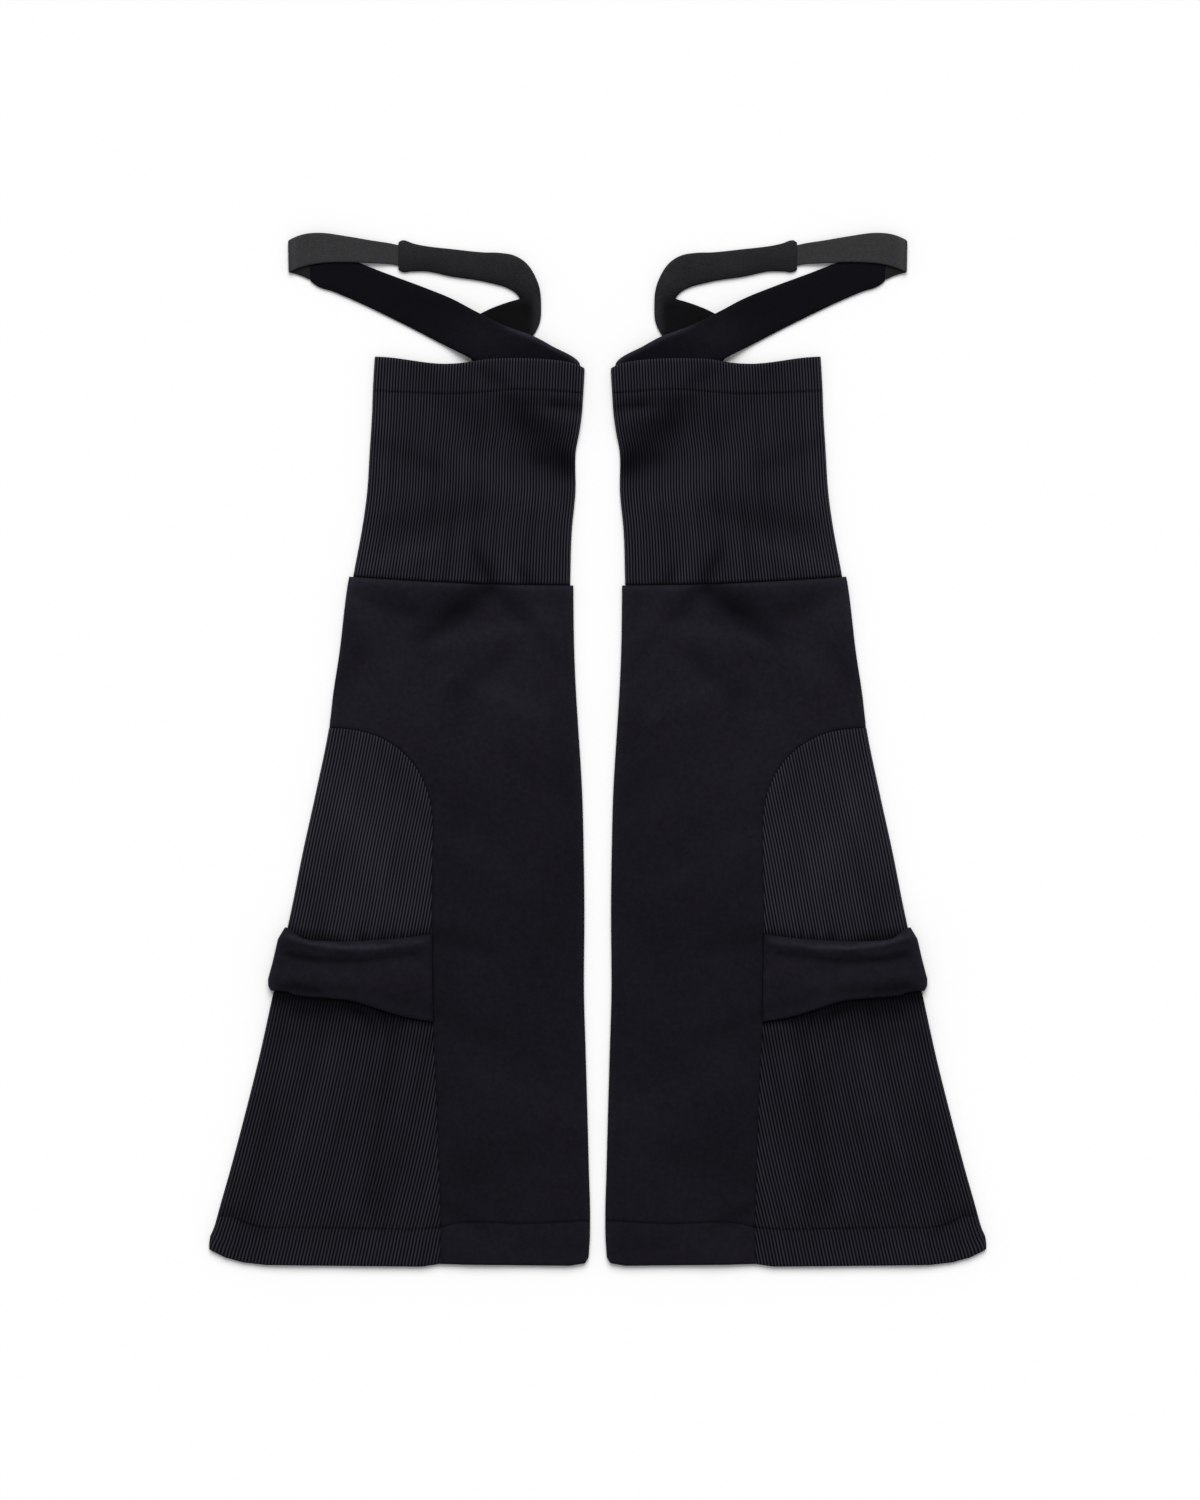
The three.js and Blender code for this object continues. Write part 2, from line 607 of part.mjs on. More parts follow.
// One row across the godet, from its outer fold inwards, in steps that keep parallel to the fold.
function godetRow(station, counts, heightAt) {
  const { narrow, from, to, sparePitch, pitchAt } = godetSpread;
  const hemStation = godetStations[godetStations.length - 1];
  const outer = bodyOuter(station);
  const pitch = (bodyOuter(pitchAt) - legSeamAt(pitchAt) + sparePitch) / godetRibs;
  return counts.map((count) => {
    const out = outer - count * pitch * lerp(narrow, 1, smoothstep(-station, from, to));
    const bottom = (hemAt(out) - hemStation) * smoothstep(-station, -hem.bodyLine, -hemStation);
    const along = station + bottom;
    return new THREE.Vector3(out, along, heightAt(out, along, outer - out, count));
  }).reverse();
}

// Ribbed front of the godet.
function godetFront() {
  const hemStation = godetStations[godetStations.length - 1];
  const low = (out, along) => frontFloor + bandLiftAt(along) + puffAt(out, godetPuffFrom, bodyOuter(along));
  const most = godetRibs + godetSpread.spareRibs;
  const counts = evenPlaces(0, most, most * 2);
  const upper = godetStations.map((station) =>
    godetRow(station, counts, (out, along, fromFold, count) => {
      const rib = count % 1 ? ribHeight : 0;
      const fromHem = station - hemStation + rimSteps[1];
      const round = Math.min(roundOver(fromFold, foldRadius), roundOver(fromHem, endRadius));
      const relief = hemRelief(station, hem.bodyLine, -1);
      return low(out, along) + (ribGround + rib + relief * Number(fromFold > 1)) * lerp(rimShare, 1, round);
    }),
  );
  const insideCounts = [0, 1, 3, 8, 20, 36, 55, most];
  const insideStations = [17, -98, -122, -194, -216, -300, -347, hemStation];
  const lower = insideStations.map((station) => godetRow(station, insideCounts, low));
  return trimToGodet(closedWall(upper, lower));
}

// Back of the godet, flat on the surface but where it lies on the band.
function godetBack() {
  const stations = [17, -98, -122, -194, -216, -300, -347, godetStations[godetStations.length - 1]];
  const most = godetRibs + godetSpread.spareRibs;
  const counts = [0, 1.2, 4, 30, most];
  const top = (out, along) => backWall + bandLiftAt(along);
  const upper = stations.map((station) => godetRow(station, counts, top));
  const lower = stations.map((station) =>
    godetRow(station, [0, 0.2, 1.2, 30, most], (out, along, fromFold) => {
      return bandLiftAt(along) + underRise * (1 - roundOver(fromFold, foldRadius));
    }),
  );
  return trimToGodet(closedWall(upper, lower));
}

// Columns across the band: from the seam over the godet, then round its fold
const bandColumns = [0, 0.9, 3.2, 12, 21, 30, 40, 52, 64, 76, 87];
const bandBackColumns = [0, 30, 60, 87];
const bandBeforeFold = [-9, -3.5];
const bandEndShares = [0.3, 0.6, 0.85, 1];
const bandRim = { radius: 3, width: 40, start: 0.4, thin: 0.5, least: 0.5, fuller: 0.5, sag: 0.6 };

// One row across the band, at a share of the way from its top edge to its bottom edge.
function bandRow(share, columns, heightAt) {
  const atFold = lerp(bandSections[8].top, bandSections[8].bottom, share);
  const atSeam = lerp(bandSections[0].top, bandSections[0].bottom, share);
  const fold = bodyOuter(atFold);
  const reach = bandReachAt(share);
  const { clear, turn } = bandWrap;
  const places = [
    ...columns.map((column) => ({ out: legSeamAt(atSeam) + seamGap + 0.1 + column, past: -1 })),
    ...bandBeforeFold.map((step) => ({ out: fold + step, past: -1 })),
    { out: fold + clear, past: 0 },
    ...[0, ...bandEndShares].map((end) => ({ out: fold + lerp(turn, reach, end), past: 1 })),
  ];
  return places.map(({ out, past }) => {
    const along = lerp(bandTopAt(out), bandBottomAt(out), share);
    return new THREE.Vector3(out, along, heightAt(out, along, past > 0, fold + reach - out));
  });
}

// Top of the godet's ribs where the band lies over them.
function overGodet(out, along) {
  const puff = puffAt(out, godetPuffFrom, bodyOuter(along));
  return frontFloor + bandLiftAt(along) + puff + ribGround + ribHeight + seamGap;
}

// Front of the band, over the godet and down round its fold.
function bandFront() {
  const split = bandWrap.split + seamGap / 2;
  const inside = (out, along, wraps) => (wraps ? split : overGodet(out, along));
  const shares = [0, 0.02, 0.07, 0.18, 0.28, 0.42, 0.66, 0.88, 0.975, 1];
  const upper = shares.map((share) =>
    bandRow(share, bandColumns, (out, along, wraps, toEnd) => {
      const sag = creaseDepth(bandCreases, out, along);
      const fuller = bandRim.fuller * smoothstep(share, 0.6, 0.9) * smoothstep(out, 150, 200);
      const rim = roundOver(Math.min(share, 1 - share) * bandRim.width + bandRim.start, bandRim.radius);
      const wall = (bandWall - sag * bandRim.sag + fuller) * lerp(bandRim.thin, 1, rim);
      return lerp(split + bandRim.least, overGodet(out, along) + wall, roundOver(toEnd, bandWrap.round));
    }),
  );
  const lower = [0, 0.18, 0.5, 0.82, 1].map((share) => bandRow(share, bandColumns, inside));
  return closedWall(upper, lower);
}

// Back of the band, flat on the surface under the godet and up round its fold.
function bandBack() {
  const split = bandWrap.split - seamGap / 2;
  const shares = [0, 0.18, 0.5, 0.82, 1];
  const upper = shares.map((share) =>
    bandRow(share, bandBackColumns, (out, along, wraps) => (wraps ? split : bandWall)),
  );
  const lower = shares.map((share) =>
    bandRow(share, bandBackColumns, (out, along, wraps, toEnd) => {
      return (split - bandRim.least) * (1 - roundOver(toEnd, bandWrap.round));
    }),
  );
  return closedWall(upper, lower);
}

// The middle of a strap's section.
function middleOf({ out, along, z, toOut, toAlong, toZ }) {
  return new THREE.Vector3(out + toOut, along + toAlong, z + toZ).divideScalar(2);
}

// A flat strap swept through its sections: ten points round each, a cap at both ends.
function strapSolid(sections, thickness, edgeInset) {
  const rings = sections.map((section, k) => {
    const before = sections[Math.max(k - 1, 0)];
    const after = sections[Math.min(k + 1, sections.length - 1)];
    const one = new THREE.Vector3(section.out, section.along, section.z);
    const other = new THREE.Vector3(section.toOut, section.toAlong, section.toZ);
    const forward = middleOf(after).sub(middleOf(before)).normalize();
    const across = other.clone().sub(one).normalize();
    const up = new THREE.Vector3().crossVectors(across, forward).normalize();
    const half = thickness / 2;
    const width = one.distanceTo(other);
    const shoulder = edgeInset * strapEdge.shoulder;
    const drop = half * strapEdge.drop;
    const at = (fromOne, height) => one.clone().addScaledVector(across, fromOne).addScaledVector(up, height);
    return [
      at(0, 0),
      at(shoulder, drop),
      at(edgeInset, half),
      at(width - edgeInset, half),
      at(width - shoulder, drop),
      at(width, 0),
      at(width - shoulder, -drop),
      at(width - edgeInset, -half),
      at(edgeInset, -half),
      at(shoulder, -drop),
    ];
  });
  const positions = [];
  const put = (...points) => points.forEach((point) => positions.push(point.x, point.y, point.z));
  const around = rings[0].length;
  for (let i = 0; i + 1 < rings.length; i++) {
    for (let j = 0; j < around; j++) {
      const next = (j + 1) % around;
      put(rings[i][j], rings[i][next], rings[i + 1][next]);
      put(rings[i][j], rings[i + 1][next], rings[i + 1][j]);
    }
  }
  const first = rings[0];
  const last = rings[rings.length - 1];
  for (let j = 1; j + 1 < around; j++) {
    put(first[0], first[j + 1], first[j]);
    put(last[0], last[j], last[j + 1]);
  }
  return new THREE.BufferGeometry().setAttribute("position", new THREE.Float32BufferAttribute(positions, 3));
}

const clothStrap = (sections) => strapSolid(sections, strapThickness, strapEdge.inset);
const elasticStrap = (sections) => strapSolid(sections, elasticThickness, strapEdge.elasticInset);

// The same geometry on one side of the pair or, turned over, on the other.
function onSide(geometry, side) {
  const placed = geometry.clone();
  const attribute = placed.getAttribute("position");
  const corners = attribute.array;
  const turned = new THREE.Triangle(new THREE.Vector3(), new THREE.Vector3(), new THREE.Vector3());
  let volume = 0;
  for (let k = 0; k < corners.length; k += 9) {
    turned.a.fromArray(corners, k);
    turned.b.fromArray(corners, k + 3);
    turned.c.fromArray(corners, k + 6);
    volume += turned.a.dot(turned.b.clone().cross(turned.c));
  }
  const flip = (volume > 0 ? 1 : -1) * side < 0;
  for (let k = 0; k < corners.length; k += 9) {
    const face = corners.slice(k, k + 9);
    const order = flip ? [0, 6, 3] : [0, 3, 6];
    order.forEach((from, to) => {
      corners[k + to * 3] = face[from] * side;
      corners[k + to * 3 + 1] = face[from + 1];
      corners[k + to * 3 + 2] = face[from + 2];
    });
  }
  placed.computeVertexNormals();
  return placed;
}

const pieces = [
  { name: "cuff_front", geometry: cuffFront(), material: materials.rib },
  { name: "cuff_back", geometry: cuffBack(), material: materials.rib },
  { name: "main_front", geometry: mainFront(), material: materials.smooth },
  { name: "main_back", geometry: mainBack(), material: materials.smooth },
  { name: "godet_front", geometry: godetFront(), material: materials.rib },
  { name: "godet_back", geometry: godetBack(), material: materials.rib },
  { name: "band_front", geometry: bandFront(), material: materials.smooth },
  { name: "band_back", geometry: bandBack(), material: materials.smooth },
  { name: "strap_lower", geometry: clothStrap(lowerStrap), material: materials.smooth },
  { name: "strap_upper", geometry: clothStrap(upperStrap), material: materials.smooth },
  { name: "elastic", geometry: elasticStrap(elasticRun), material: materials.elastic },
];

const pair = new THREE.Group();
for (const [prefix, side] of [["left", -1], ["right", 1]]) {
  const leg = new THREE.Group();
  for (const piece of pieces) {
    const mesh = new THREE.Mesh(onSide(piece.geometry, side), piece.material);
    mesh.name = `${prefix}_${piece.name}`;
    leg.add(mesh);
  }
  pair.add(leg);
}

// The origin is the middle of the pair, on the surface it lies on.
const box = new THREE.Box3().setFromObject(pair);
pair.position.y = -(box.min.y + box.max.y) / 2;

export default pair;
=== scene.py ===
import math

import bpy
import numpy as np
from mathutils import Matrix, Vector


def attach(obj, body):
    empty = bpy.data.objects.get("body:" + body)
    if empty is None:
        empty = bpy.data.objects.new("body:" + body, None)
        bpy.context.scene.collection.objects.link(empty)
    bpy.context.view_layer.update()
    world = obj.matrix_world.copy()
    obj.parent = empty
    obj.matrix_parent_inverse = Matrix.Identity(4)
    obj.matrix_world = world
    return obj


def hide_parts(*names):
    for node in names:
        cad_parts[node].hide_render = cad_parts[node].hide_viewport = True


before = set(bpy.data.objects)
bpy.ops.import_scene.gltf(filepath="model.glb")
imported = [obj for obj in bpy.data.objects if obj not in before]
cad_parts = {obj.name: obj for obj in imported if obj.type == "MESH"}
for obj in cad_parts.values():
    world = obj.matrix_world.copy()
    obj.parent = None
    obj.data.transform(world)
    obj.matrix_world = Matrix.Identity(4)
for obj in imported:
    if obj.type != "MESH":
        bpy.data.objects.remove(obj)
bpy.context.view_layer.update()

# One leg is worked out in millimetres: out from the pair's middle line, along up the leg, z up.
mm = 0.001
planShift = -0.35          # along, from the leg's own plan to the part's frame
sides = {"left": -1, "right": 1}


def table(names, *rows):
    return {name: np.array([row[k] for row in rows], float) for k, name in enumerate(names.split())}


def lerp(a, b, share):
    return a + (b - a) * share


def smoothStep(x, start, end):
    t = np.clip((x - start) / (end - start), 0, 1)
    return t * t * (3 - 2 * t)


# 0 at an edge, rising round to 1 at the radius
def roundOver(distance, radius):
    rest = 1 - np.clip(distance / radius, 0, 1)
    return np.sqrt(1 - rest * rest)


# A table's column against its key as a smooth curve
def curveOf(rows, key, column):
    order = np.argsort(rows[key])
    places, values = rows[key][order], rows[column][order]
    steps = np.diff(places)
    slopes = np.diff(values) / steps
    tangents = np.concatenate([slopes[:1], slopes, slopes[-1:]])
    tangents = (tangents[:-1] + tangents[1:]) / 2

    def at(place):
        place = np.clip(place, places[0], places[-1])
        k = np.clip(np.searchsorted(places, place) - 1, 0, len(steps) - 1)
        t = (place - places[k]) / steps[k]
        a = (1 + 2 * t) * (1 - t) ** 2
        b = t * (1 - t) ** 2
        c = t * t * (3 - 2 * t)
        d = t * t * (t - 1)
        return a * values[k] + b * steps[k] * tangents[k] + c * values[k + 1] + d * steps[k] * tangents[k + 1]

    return at


# The same in straight steps
def linesOf(rows, key, column):
    order = np.argsort(rows[key])
    return lambda place: np.interp(place, rows[key][order], rows[column][order])


# Places from one end to the other, even between the named ones
def placesBetween(step, *stops):
    found = [stops[0]]
    for start, end in zip(stops, stops[1:]):
        count = max(1, round(abs(end - start) / step))
        found += [lerp(start, end, k / count) for k in range(1, count + 1)]
    return np.array(found)


# Outlines

cuffOutline = table(
    "along inner outer",
    (276, 9.0, 155.8), (250.8, 10.2, 157.3), (236.8, 11.0, 157.8), (222.8, 12.8, 158.6),
    (208.8, 15.4, 159.5), (180.8, 15.6, 161.3), (152.8, 18.2, 165.1), (116, 19.3, 171.2),
)
bodyOutline = table(
    "along inner outer",
    (122, 17.0, 172.8), (110.8, 17.0, 175.0), (68.8, 16.4, 180.6), (40.8, 15.2, 184.9),
    (15.6, 13.6, 188.0), (-29.2, 10.9, 197.1), (-71.2, 9.8, 206.3), (-113.2, 9.3, 214.6),
    (-169.2, 9.6, 226.8), (-211.2, 8.4, 236.0), (-253.2, 7.2, 246.4), (-295.2, 6.1, 257.5),
    (-323.2, 5.3, 265.4), (-347.8, 5.6, 271.3), (-362, 6.4, 272.0),
)
cuffTop = table(
    "out along",
    (9, 266.9), (14.5, 269.5), (25, 271.8), (47.4, 273.4), (75.4, 273.0),
    (95, 270.6), (110.4, 270.2), (146.1, 274.6), (156, 275.2),
)
yokeTop = {"inner": 17, "outer": 173, "low": 115.3, "rise": 6.1}
hemEdge = table(
    "out along",
    (5.6, -353.5), (8.9, -358.7), (19.4, -360.5), (90.8, -359.8), (110, -359.2), (123, -361.2),
    (188.8, -360.5), (232.2, -360.0), (248, -358.2), (260.6, -354.7), (272, -349.0),
)
arch = {"corner": 187.6, "spring": -55, "width": 72.2, "height": 70.6, "power": 2.25}
legSeam = table(
    "along out",
    (-55, 115.4), (-122, 116.2), (-194, 115.0), (-251.8, 112.4), (-328.3, 110.0), (-362, 110.0),
)
bandEdges = table(
    "out top bottom",
    (116.7, -128.6, -189.6), (135.6, -131.0, -186.3), (153.1, -132.4, -181.0),
    (171.3, -133.4, -175.5), (189.1, -133.4, -173.4), (207.0, -131.0, -172.0),
    (213.0, -126.5, -171.0), (216.0, -124.5, -169.5), (230.0, -124.5, -168.0),
)
bandReach = table("share reach", (0, 1.8), (0.18, 5.0), (0.5, 5.2), (0.82, 5.8), (0.93, 4.6), (1, 2.2))
bandLift = table("along lift", (20, 0), (-98, 0), (-122, 1.75), (-194, 1.75), (-216, 0), (-365, 0))
strapRoom = table(
    "out lift",
    (9, 0), (12.5, 2.2), (16, 3.4), (30, 4.2), (44, 5.2), (56, 5.9), (86, 5.9), (97, 1.2), (110, 0),
)
hemLine = table(
    "out along",
    (6, -328.8), (46, -330.9), (89.4, -330.1), (99.9, -330.9), (110.4, -333.4), (164.3, -334.4),
    (207, -333.7), (235.7, -333.3), (244.5, -330.9), (256, -325.5),
)
cuffLine = table("out along", (11, 249.8), (60, 252.0), (73, 250.8), (104, 249.4), (155, 251.4))

cuffInner, cuffOuter = curveOf(cuffOutline, "along", "inner"), curveOf(cuffOutline, "along", "outer")
bodyInner, bodyOuter = curveOf(bodyOutline, "along", "inner"), curveOf(bodyOutline, "along", "outer")
cuffTopAt = curveOf(cuffTop, "out", "along")
hemAt = linesOf(hemEdge, "out", "along")
legSeamAt = linesOf(legSeam, "along", "out")
bandTopAt = curveOf(bandEdges, "out", "top")
bandBottomAt = curveOf(bandEdges, "out", "bottom")
bandReachAt = linesOf(bandReach, "share", "reach")
strapRoomAt = curveOf(strapRoom, "out", "lift")
hemLineAt = curveOf(hemLine, "out", "along")
cuffLineAt = curveOf(cuffLine, "out", "along")


def bandLiftAt(along):
    return 1.75 * smoothStep(along, -100, -122) * smoothStep(along, -216, -194)


def yokeTopAt(out):
    share = (out - yokeTop["inner"]) / (yokeTop["outer"] - yokeTop["inner"])
    return yokeTop["low"] + yokeTop["rise"] * share * np.abs(share)


# Folds: soft troughs (height below 0) and ridges from one point to another, fading at both ends

cuffFolds = table(
    "out along toOut toAlong reach height",
    (62, 244.5, 30, 242.0, 5.0, -0.6),
    (30, 242.5, 9, 239.0, 3.4, -1.0),
    (36, 235.0, 12, 230.5, 4.5, 0.5),
    (50, 229.0, 25, 208.0, 14.0, -1.25),
    (40, 203.0, 12, 194.0, 9.0, -0.8),
    (148, 258.0, 156, 140.0, 13.0, 0.35),
    (84, 196.0, 44, 176.0, 12.0, 0.4),
    (78, 263.0, 68, 258.0, 6.0, -0.7),
    (118, 262.0, 96, 236.0, 10.0, -0.4),
    (152, 214.0, 118, 200.0, 8.0, -0.5),
    (90, 168.0, 140, 158.0, 12.0, -0.6),
    (82, 133.0, 74, 118.0, 6.0, -1.2),
    (52, 124.0, 46, 117.5, 5.0, -0.8),
    (62, 129.0, 58, 118.0, 4.5, 0.5),
    (120, 140.0, 158, 128.0, 8.0, 0.6),
)
mainFolds = table(
    "out along toOut toAlong reach height",
    (150, 104.0, 134, 98.0, 9.0, -1.3),
    (124, 100.0, 100, 99.0, 9.0, -0.8),
    (172, 106.0, 162, 84.0, 7.0, 0.5),
    (80, 112.0, 120, 80.0, 11.0, -1.7),
    (90, 104.0, 100, 96.0, 9.0, -0.6),
    (74, 113.0, 55, 95.0, 7.0, -1.3),
    (108, 74.0, 64, 82.0, 8.5, 1.0),
    (72, 106.0, 69, 98.0, 3.6, 0.5),
    (44, 104.0, 30, 82.0, 9.0, 0.5),
    (132, 70.0, 156, 48.0, 12.0, 0.6),
    (72, 59.0, 96, 42.0, 9.0, -1.1),
    (92, 40.0, 98, 14.0, 9.0, -0.5),
    (28, 18.0, 22, -34.0, 9.0, -0.5),
    (86, 44.0, 44, 26.0, 10.0, 0.7),
    (168, 66.0, 184, 46.0, 8.0, -0.7),
    (36, 74.0, 18, 52.0, 7.0, -0.6),
    (58, -6.0, 20, -30.0, 12.0, -0.5),
    (98, -70.0, 56, -92.0, 14.0, 0.6),
    (112, -132.0, 82, -139.0, 8.0, -0.8),
    (112, -186.0, 78, -201.0, 10.0, -0.7),
    (70, -236.0, 22, -258.0, 16.0, 0.5),
    (104, -300.0, 60, -286.0, 14.0, -0.5),
    (106, -322.0, 84, -334.0, 6.0, -0.7),
    (50, -345.0, 12, -350.0, 6.0, -0.4),
)
godetFolds = table(
    "out along toOut toAlong reach height",
    (150, -6.0, 122, -48.0, 7.0, -0.5),
    (176, -40.0, 150, -96.0, 12.0, 0.7),
    (204, -96.0, 196, -118.0, 8.0, -0.6),
    (212, -196.0, 150, -194.0, 9.0, -0.9),
    (150, -196.0, 118, -206.0, 8.0, -0.6),
    (190, -214.0, 204, -272.0, 14.0, 0.6),
    (150, -240.0, 158, -312.0, 13.0, -0.6),
    (228, -262.0, 246, -322.0, 10.0, -0.5),
    (176, -318.0, 158, -345.0, 8.0, 0.5),
    (256, -322.0, 238, -336.0, 5.0, -0.7),
    (170, -330.0, 172, -340.0, 5.0, -0.5),
)
bandFolds = table(
    "out along toOut toAlong reach height",
    (215, -131.0, 205, -134.0, 3.2, 1.8),
    (198, -135.8, 180, -138.2, 3.2, 2.1),
    (173, -138.6, 152, -138.2, 3.2, 2.2),
    (145, -136.8, 124, -134.3, 3.0, 1.4),
    (212, -164.0, 172, -168.0, 6.0, -0.6),
    (213, -143.6, 200, -146.2, 3.8, -1.1),
    (191.5, -147.2, 168, -147.4, 3.8, -1.0),
    (159.5, -146.6, 128, -142.6, 3.4, -0.7),
    (214, -157.0, 150, -160.0, 8.0, 0.35),
    (218, -166.0, 196, -169.0, 3.4, -0.6),
    (150, -172.0, 118, -182.0, 5.0, -0.3),
    (135, -152.0, 118, -158.0, 7.0, 0.4),
)
strapFolds = table(
    "out along toOut toAlong reach height",
    (55, 317.5, 45, 303.0, 4.0, -1.1),
    (55, 318.5, 41, 322.0, 4.5, -0.8),
    (60, 322.5, 47, 334.0, 4.0, 0.4),
    (60, 316.0, 48, 312.0, 2.5, 0.5),
    (132, 341.0, 112, 338.5, 3.0, -0.4),
    (134, 350.0, 118, 347.0, 3.5, 0.3),
    (96, 340.0, 74, 335.0, 5.0, 0.35),
    (100, 300.0, 78, 290.0, 6.0, 0.4),
    (150, 322.0, 128, 311.0, 6.0, -0.35),
    (70, 283.0, 48, 275.0, 5.0, -0.4),
)


def reliefOf(folds, out, along):
    height = np.zeros(np.broadcast(out, along).shape)
    for k in range(len(folds["out"])):
        fold = {name: column[k] for name, column in folds.items()}
        run = np.array([fold["toOut"] - fold["out"], fold["toAlong"] - fold["along"]])
        length = np.hypot(*run)
        on = ((out - fold["out"]) * run[0] + (along - fold["along"]) * run[1]) / length
        off = ((out - fold["out"]) * run[1] - (along - fold["along"]) * run[0]) / length
        past = np.maximum(0, np.maximum(-on, on - length))
        wide = fold["reach"] * (0.75 + 0.25 * np.sin(math.pi * np.clip(on / length, 0, 1)))
        height += fold["height"] * np.exp(-(off * off) / wide**2 - past * past / (1.4 * fold["reach"]) ** 2)
    return height


# Painted shade down in a fold and a painted highlight on a ridge: the folds' relief scales the cloth's colour
def paintedFoldShade(folds, outer, depth, base=1.0):
    return np.clip(base * (1 + depth * reliefOf(folds, outer[..., 0], outer[..., 1])), 0.1, 2.2)


# Painted shade in a hem's stitch groove, and a painted highlight on the cloth past the line, which puffs up a little
def hemPaintedShade(outer, lineAt, towards, lighter, depth):
    past = (outer[..., 1] - lineAt(outer[..., 0])) * towards
    return (1 + lighter * smoothStep(past, 0, 4)) * (1 - depth * np.exp(-((past / 0.85) ** 2)))


# Painted highlight along a fold, where the soft light catches the fibres
def foldPaintedLight(outer, innerAt, outerAt, lighter=0.4, reach=3.0):
    out, along = outer[..., 0], outer[..., 1]
    toFold = np.minimum(out - innerAt(along), outerAt(along) - out)
    return 1 + lighter * np.exp(-((toFold / reach) ** 2))


# Slight unevenness of cloth that was smoothed out by hand
unevenness = table(
    "acrossTurns alongTurns start height",
    (0.017, 0.006, 0.3, 0.16), (-0.011, 0.009, 1.9, 0.14), (0.004, -0.013, 4.1, 0.16),
    (0.023, -0.011, 2.6, 0.06),
)


def unevenAt(out, along):
    height = np.zeros(np.broadcast(out, along).shape)
    for turnsOut, turnsAlong, start, size in zip(*unevenness.values()):
        height += size * np.sin(2 * math.pi * (turnsOut * out + turnsAlong * along) + start)
    return height


# Small gathers that a seam draws into the cloth beside it
def puckerAt(onSeam, fromSeam, height=0.34, reach=7.0):
    wave = np.sin(onSeam * 0.52) + 0.7 * np.sin(onSeam * 0.83 + 1.3) + 0.5 * np.sin(onSeam * 1.31 + 0.4)
    return height * 0.5 * wave * np.exp(-((fromSeam / reach) ** 2)) * roundOver(fromSeam, 2.5)


# Materials

def newMaterial(name):
    material = bpy.data.materials.new(name)
    material.use_nodes = True
    return material, material.node_tree, material.node_tree.nodes["Principled BSDF"]


def wire(tree, value, socket):
    if isinstance(value, bpy.types.NodeSocket):
        tree.links.new(value, socket)
    else:
        socket.default_value = value


def mathNode(tree, operation, *values):
    node = tree.nodes.new("ShaderNodeMath")
    node.operation = operation
    for value, socket in zip(values, node.inputs):
        wire(tree, value, socket)
    return node.outputs[0]


def mixColour(tree, share, a, b):
    node = tree.nodes.new("ShaderNodeMix")
    node.data_type = "RGBA"
    wire(tree, share, node.inputs["Factor"])
    wire(tree, a, node.inputs["A"])
    wire(tree, b, node.inputs["B"])
    return node.outputs["Result"]


def noiseNode(tree, vector, scale, detail=3.0, roughness=0.55):
    node = tree.nodes.new("ShaderNodeTexNoise")
    tree.links.new(vector, node.inputs["Vector"])
    node.inputs["Scale"].default_value = scale
    node.inputs["Detail"].default_value = detail
    node.inputs["Roughness"].default_value = roughness
    return node.outputs["Fac"]


def clothCoordinates(tree):
    uv = tree.nodes.new("ShaderNodeUVMap")
    uv.uv_map = "cloth"
    parts = tree.nodes.new("ShaderNodeSeparateXYZ")
    tree.links.new(uv.outputs["UV"], parts.inputs[0])
    place = tree.nodes.new("ShaderNodeTexCoord")
    return uv.outputs["UV"], parts.outputs[0], parts.outputs[1], place.outputs["Object"]


# Rows of little V stitches: across counts the rows, along is in millimetres
def knitHeight(tree, across, along, courseLength, slant):
    inRow = mathNode(tree, "ABSOLUTE", mathNode(tree, "SUBTRACT", mathNode(tree, "FRACT", across), 0.5))
    turn = mathNode(tree, "ADD", mathNode(tree, "DIVIDE", along, courseLength), mathNode(tree, "MULTIPLY", inRow, slant))
    wave = mathNode(tree, "SINE", mathNode(tree, "MULTIPLY", turn, 2 * math.pi))
    leg = mathNode(tree, "SINE", mathNode(tree, "MULTIPLY", inRow, 2 * math.pi))
    return mathNode(tree, "MULTIPLY", mathNode(tree, "ADD", mathNode(tree, "MULTIPLY", wave, 0.5), 0.5), leg)


def addBump(tree, shader, height, strength, distance):
    bump = tree.nodes.new("ShaderNodeBump")
    bump.inputs["Strength"].default_value = strength
    bump.inputs["Distance"].default_value = distance
    tree.links.new(height, bump.inputs["Height"])
    tree.links.new(bump.outputs["Normal"], shader.inputs["Normal"])


# A piece's "shade" attribute scales its cloth's colour: it carries the piece's painted light and shade
def shaded(tree, colour):
    value = tree.nodes.new("ShaderNodeAttribute")
    value.attribute_name = "shade"
    node = tree.nodes.new("ShaderNodeVectorMath")
    node.operation = "SCALE"
    tree.links.new(colour, node.inputs[0])
    tree.links.new(value.outputs["Fac"], node.inputs["Scale"])
    return node.outputs[0]


def setSheen(shader, look):
    shader.inputs["Specular IOR Level"].default_value = look["specular"]
    shader.inputs["Specular Tint"].default_value = look["specularTint"]
    shader.inputs["Sheen Weight"].default_value = look["sheen"]
    shader.inputs["Sheen Roughness"].default_value = look["sheenRoughness"]
    shader.inputs["Sheen Tint"].default_value = look["sheenTint"]


# Rib colours: the valley colour is painted shade down between the ribs, far darker than the ridge colour of the cloth
# on their crowns
ribLook = {
    "shadedValley": (0.0006, 0.0006, 0.0010, 1), "ridge": (0.0272, 0.0265, 0.0356, 1),
    "specular": 0.06, "specularTint": (0.82, 0.80, 1.0, 1),
    "sheen": 0.03, "sheenRoughness": 0.45, "sheenTint": (0.80, 0.80, 0.90, 1),
    "course": 1.15, "slant": 1.1, "courseShare": 0.2, "bump": 0.3, "bumpDepth": 0.00010,
    "streakAcross": 0.11, "streakAlong": 0.008,
}


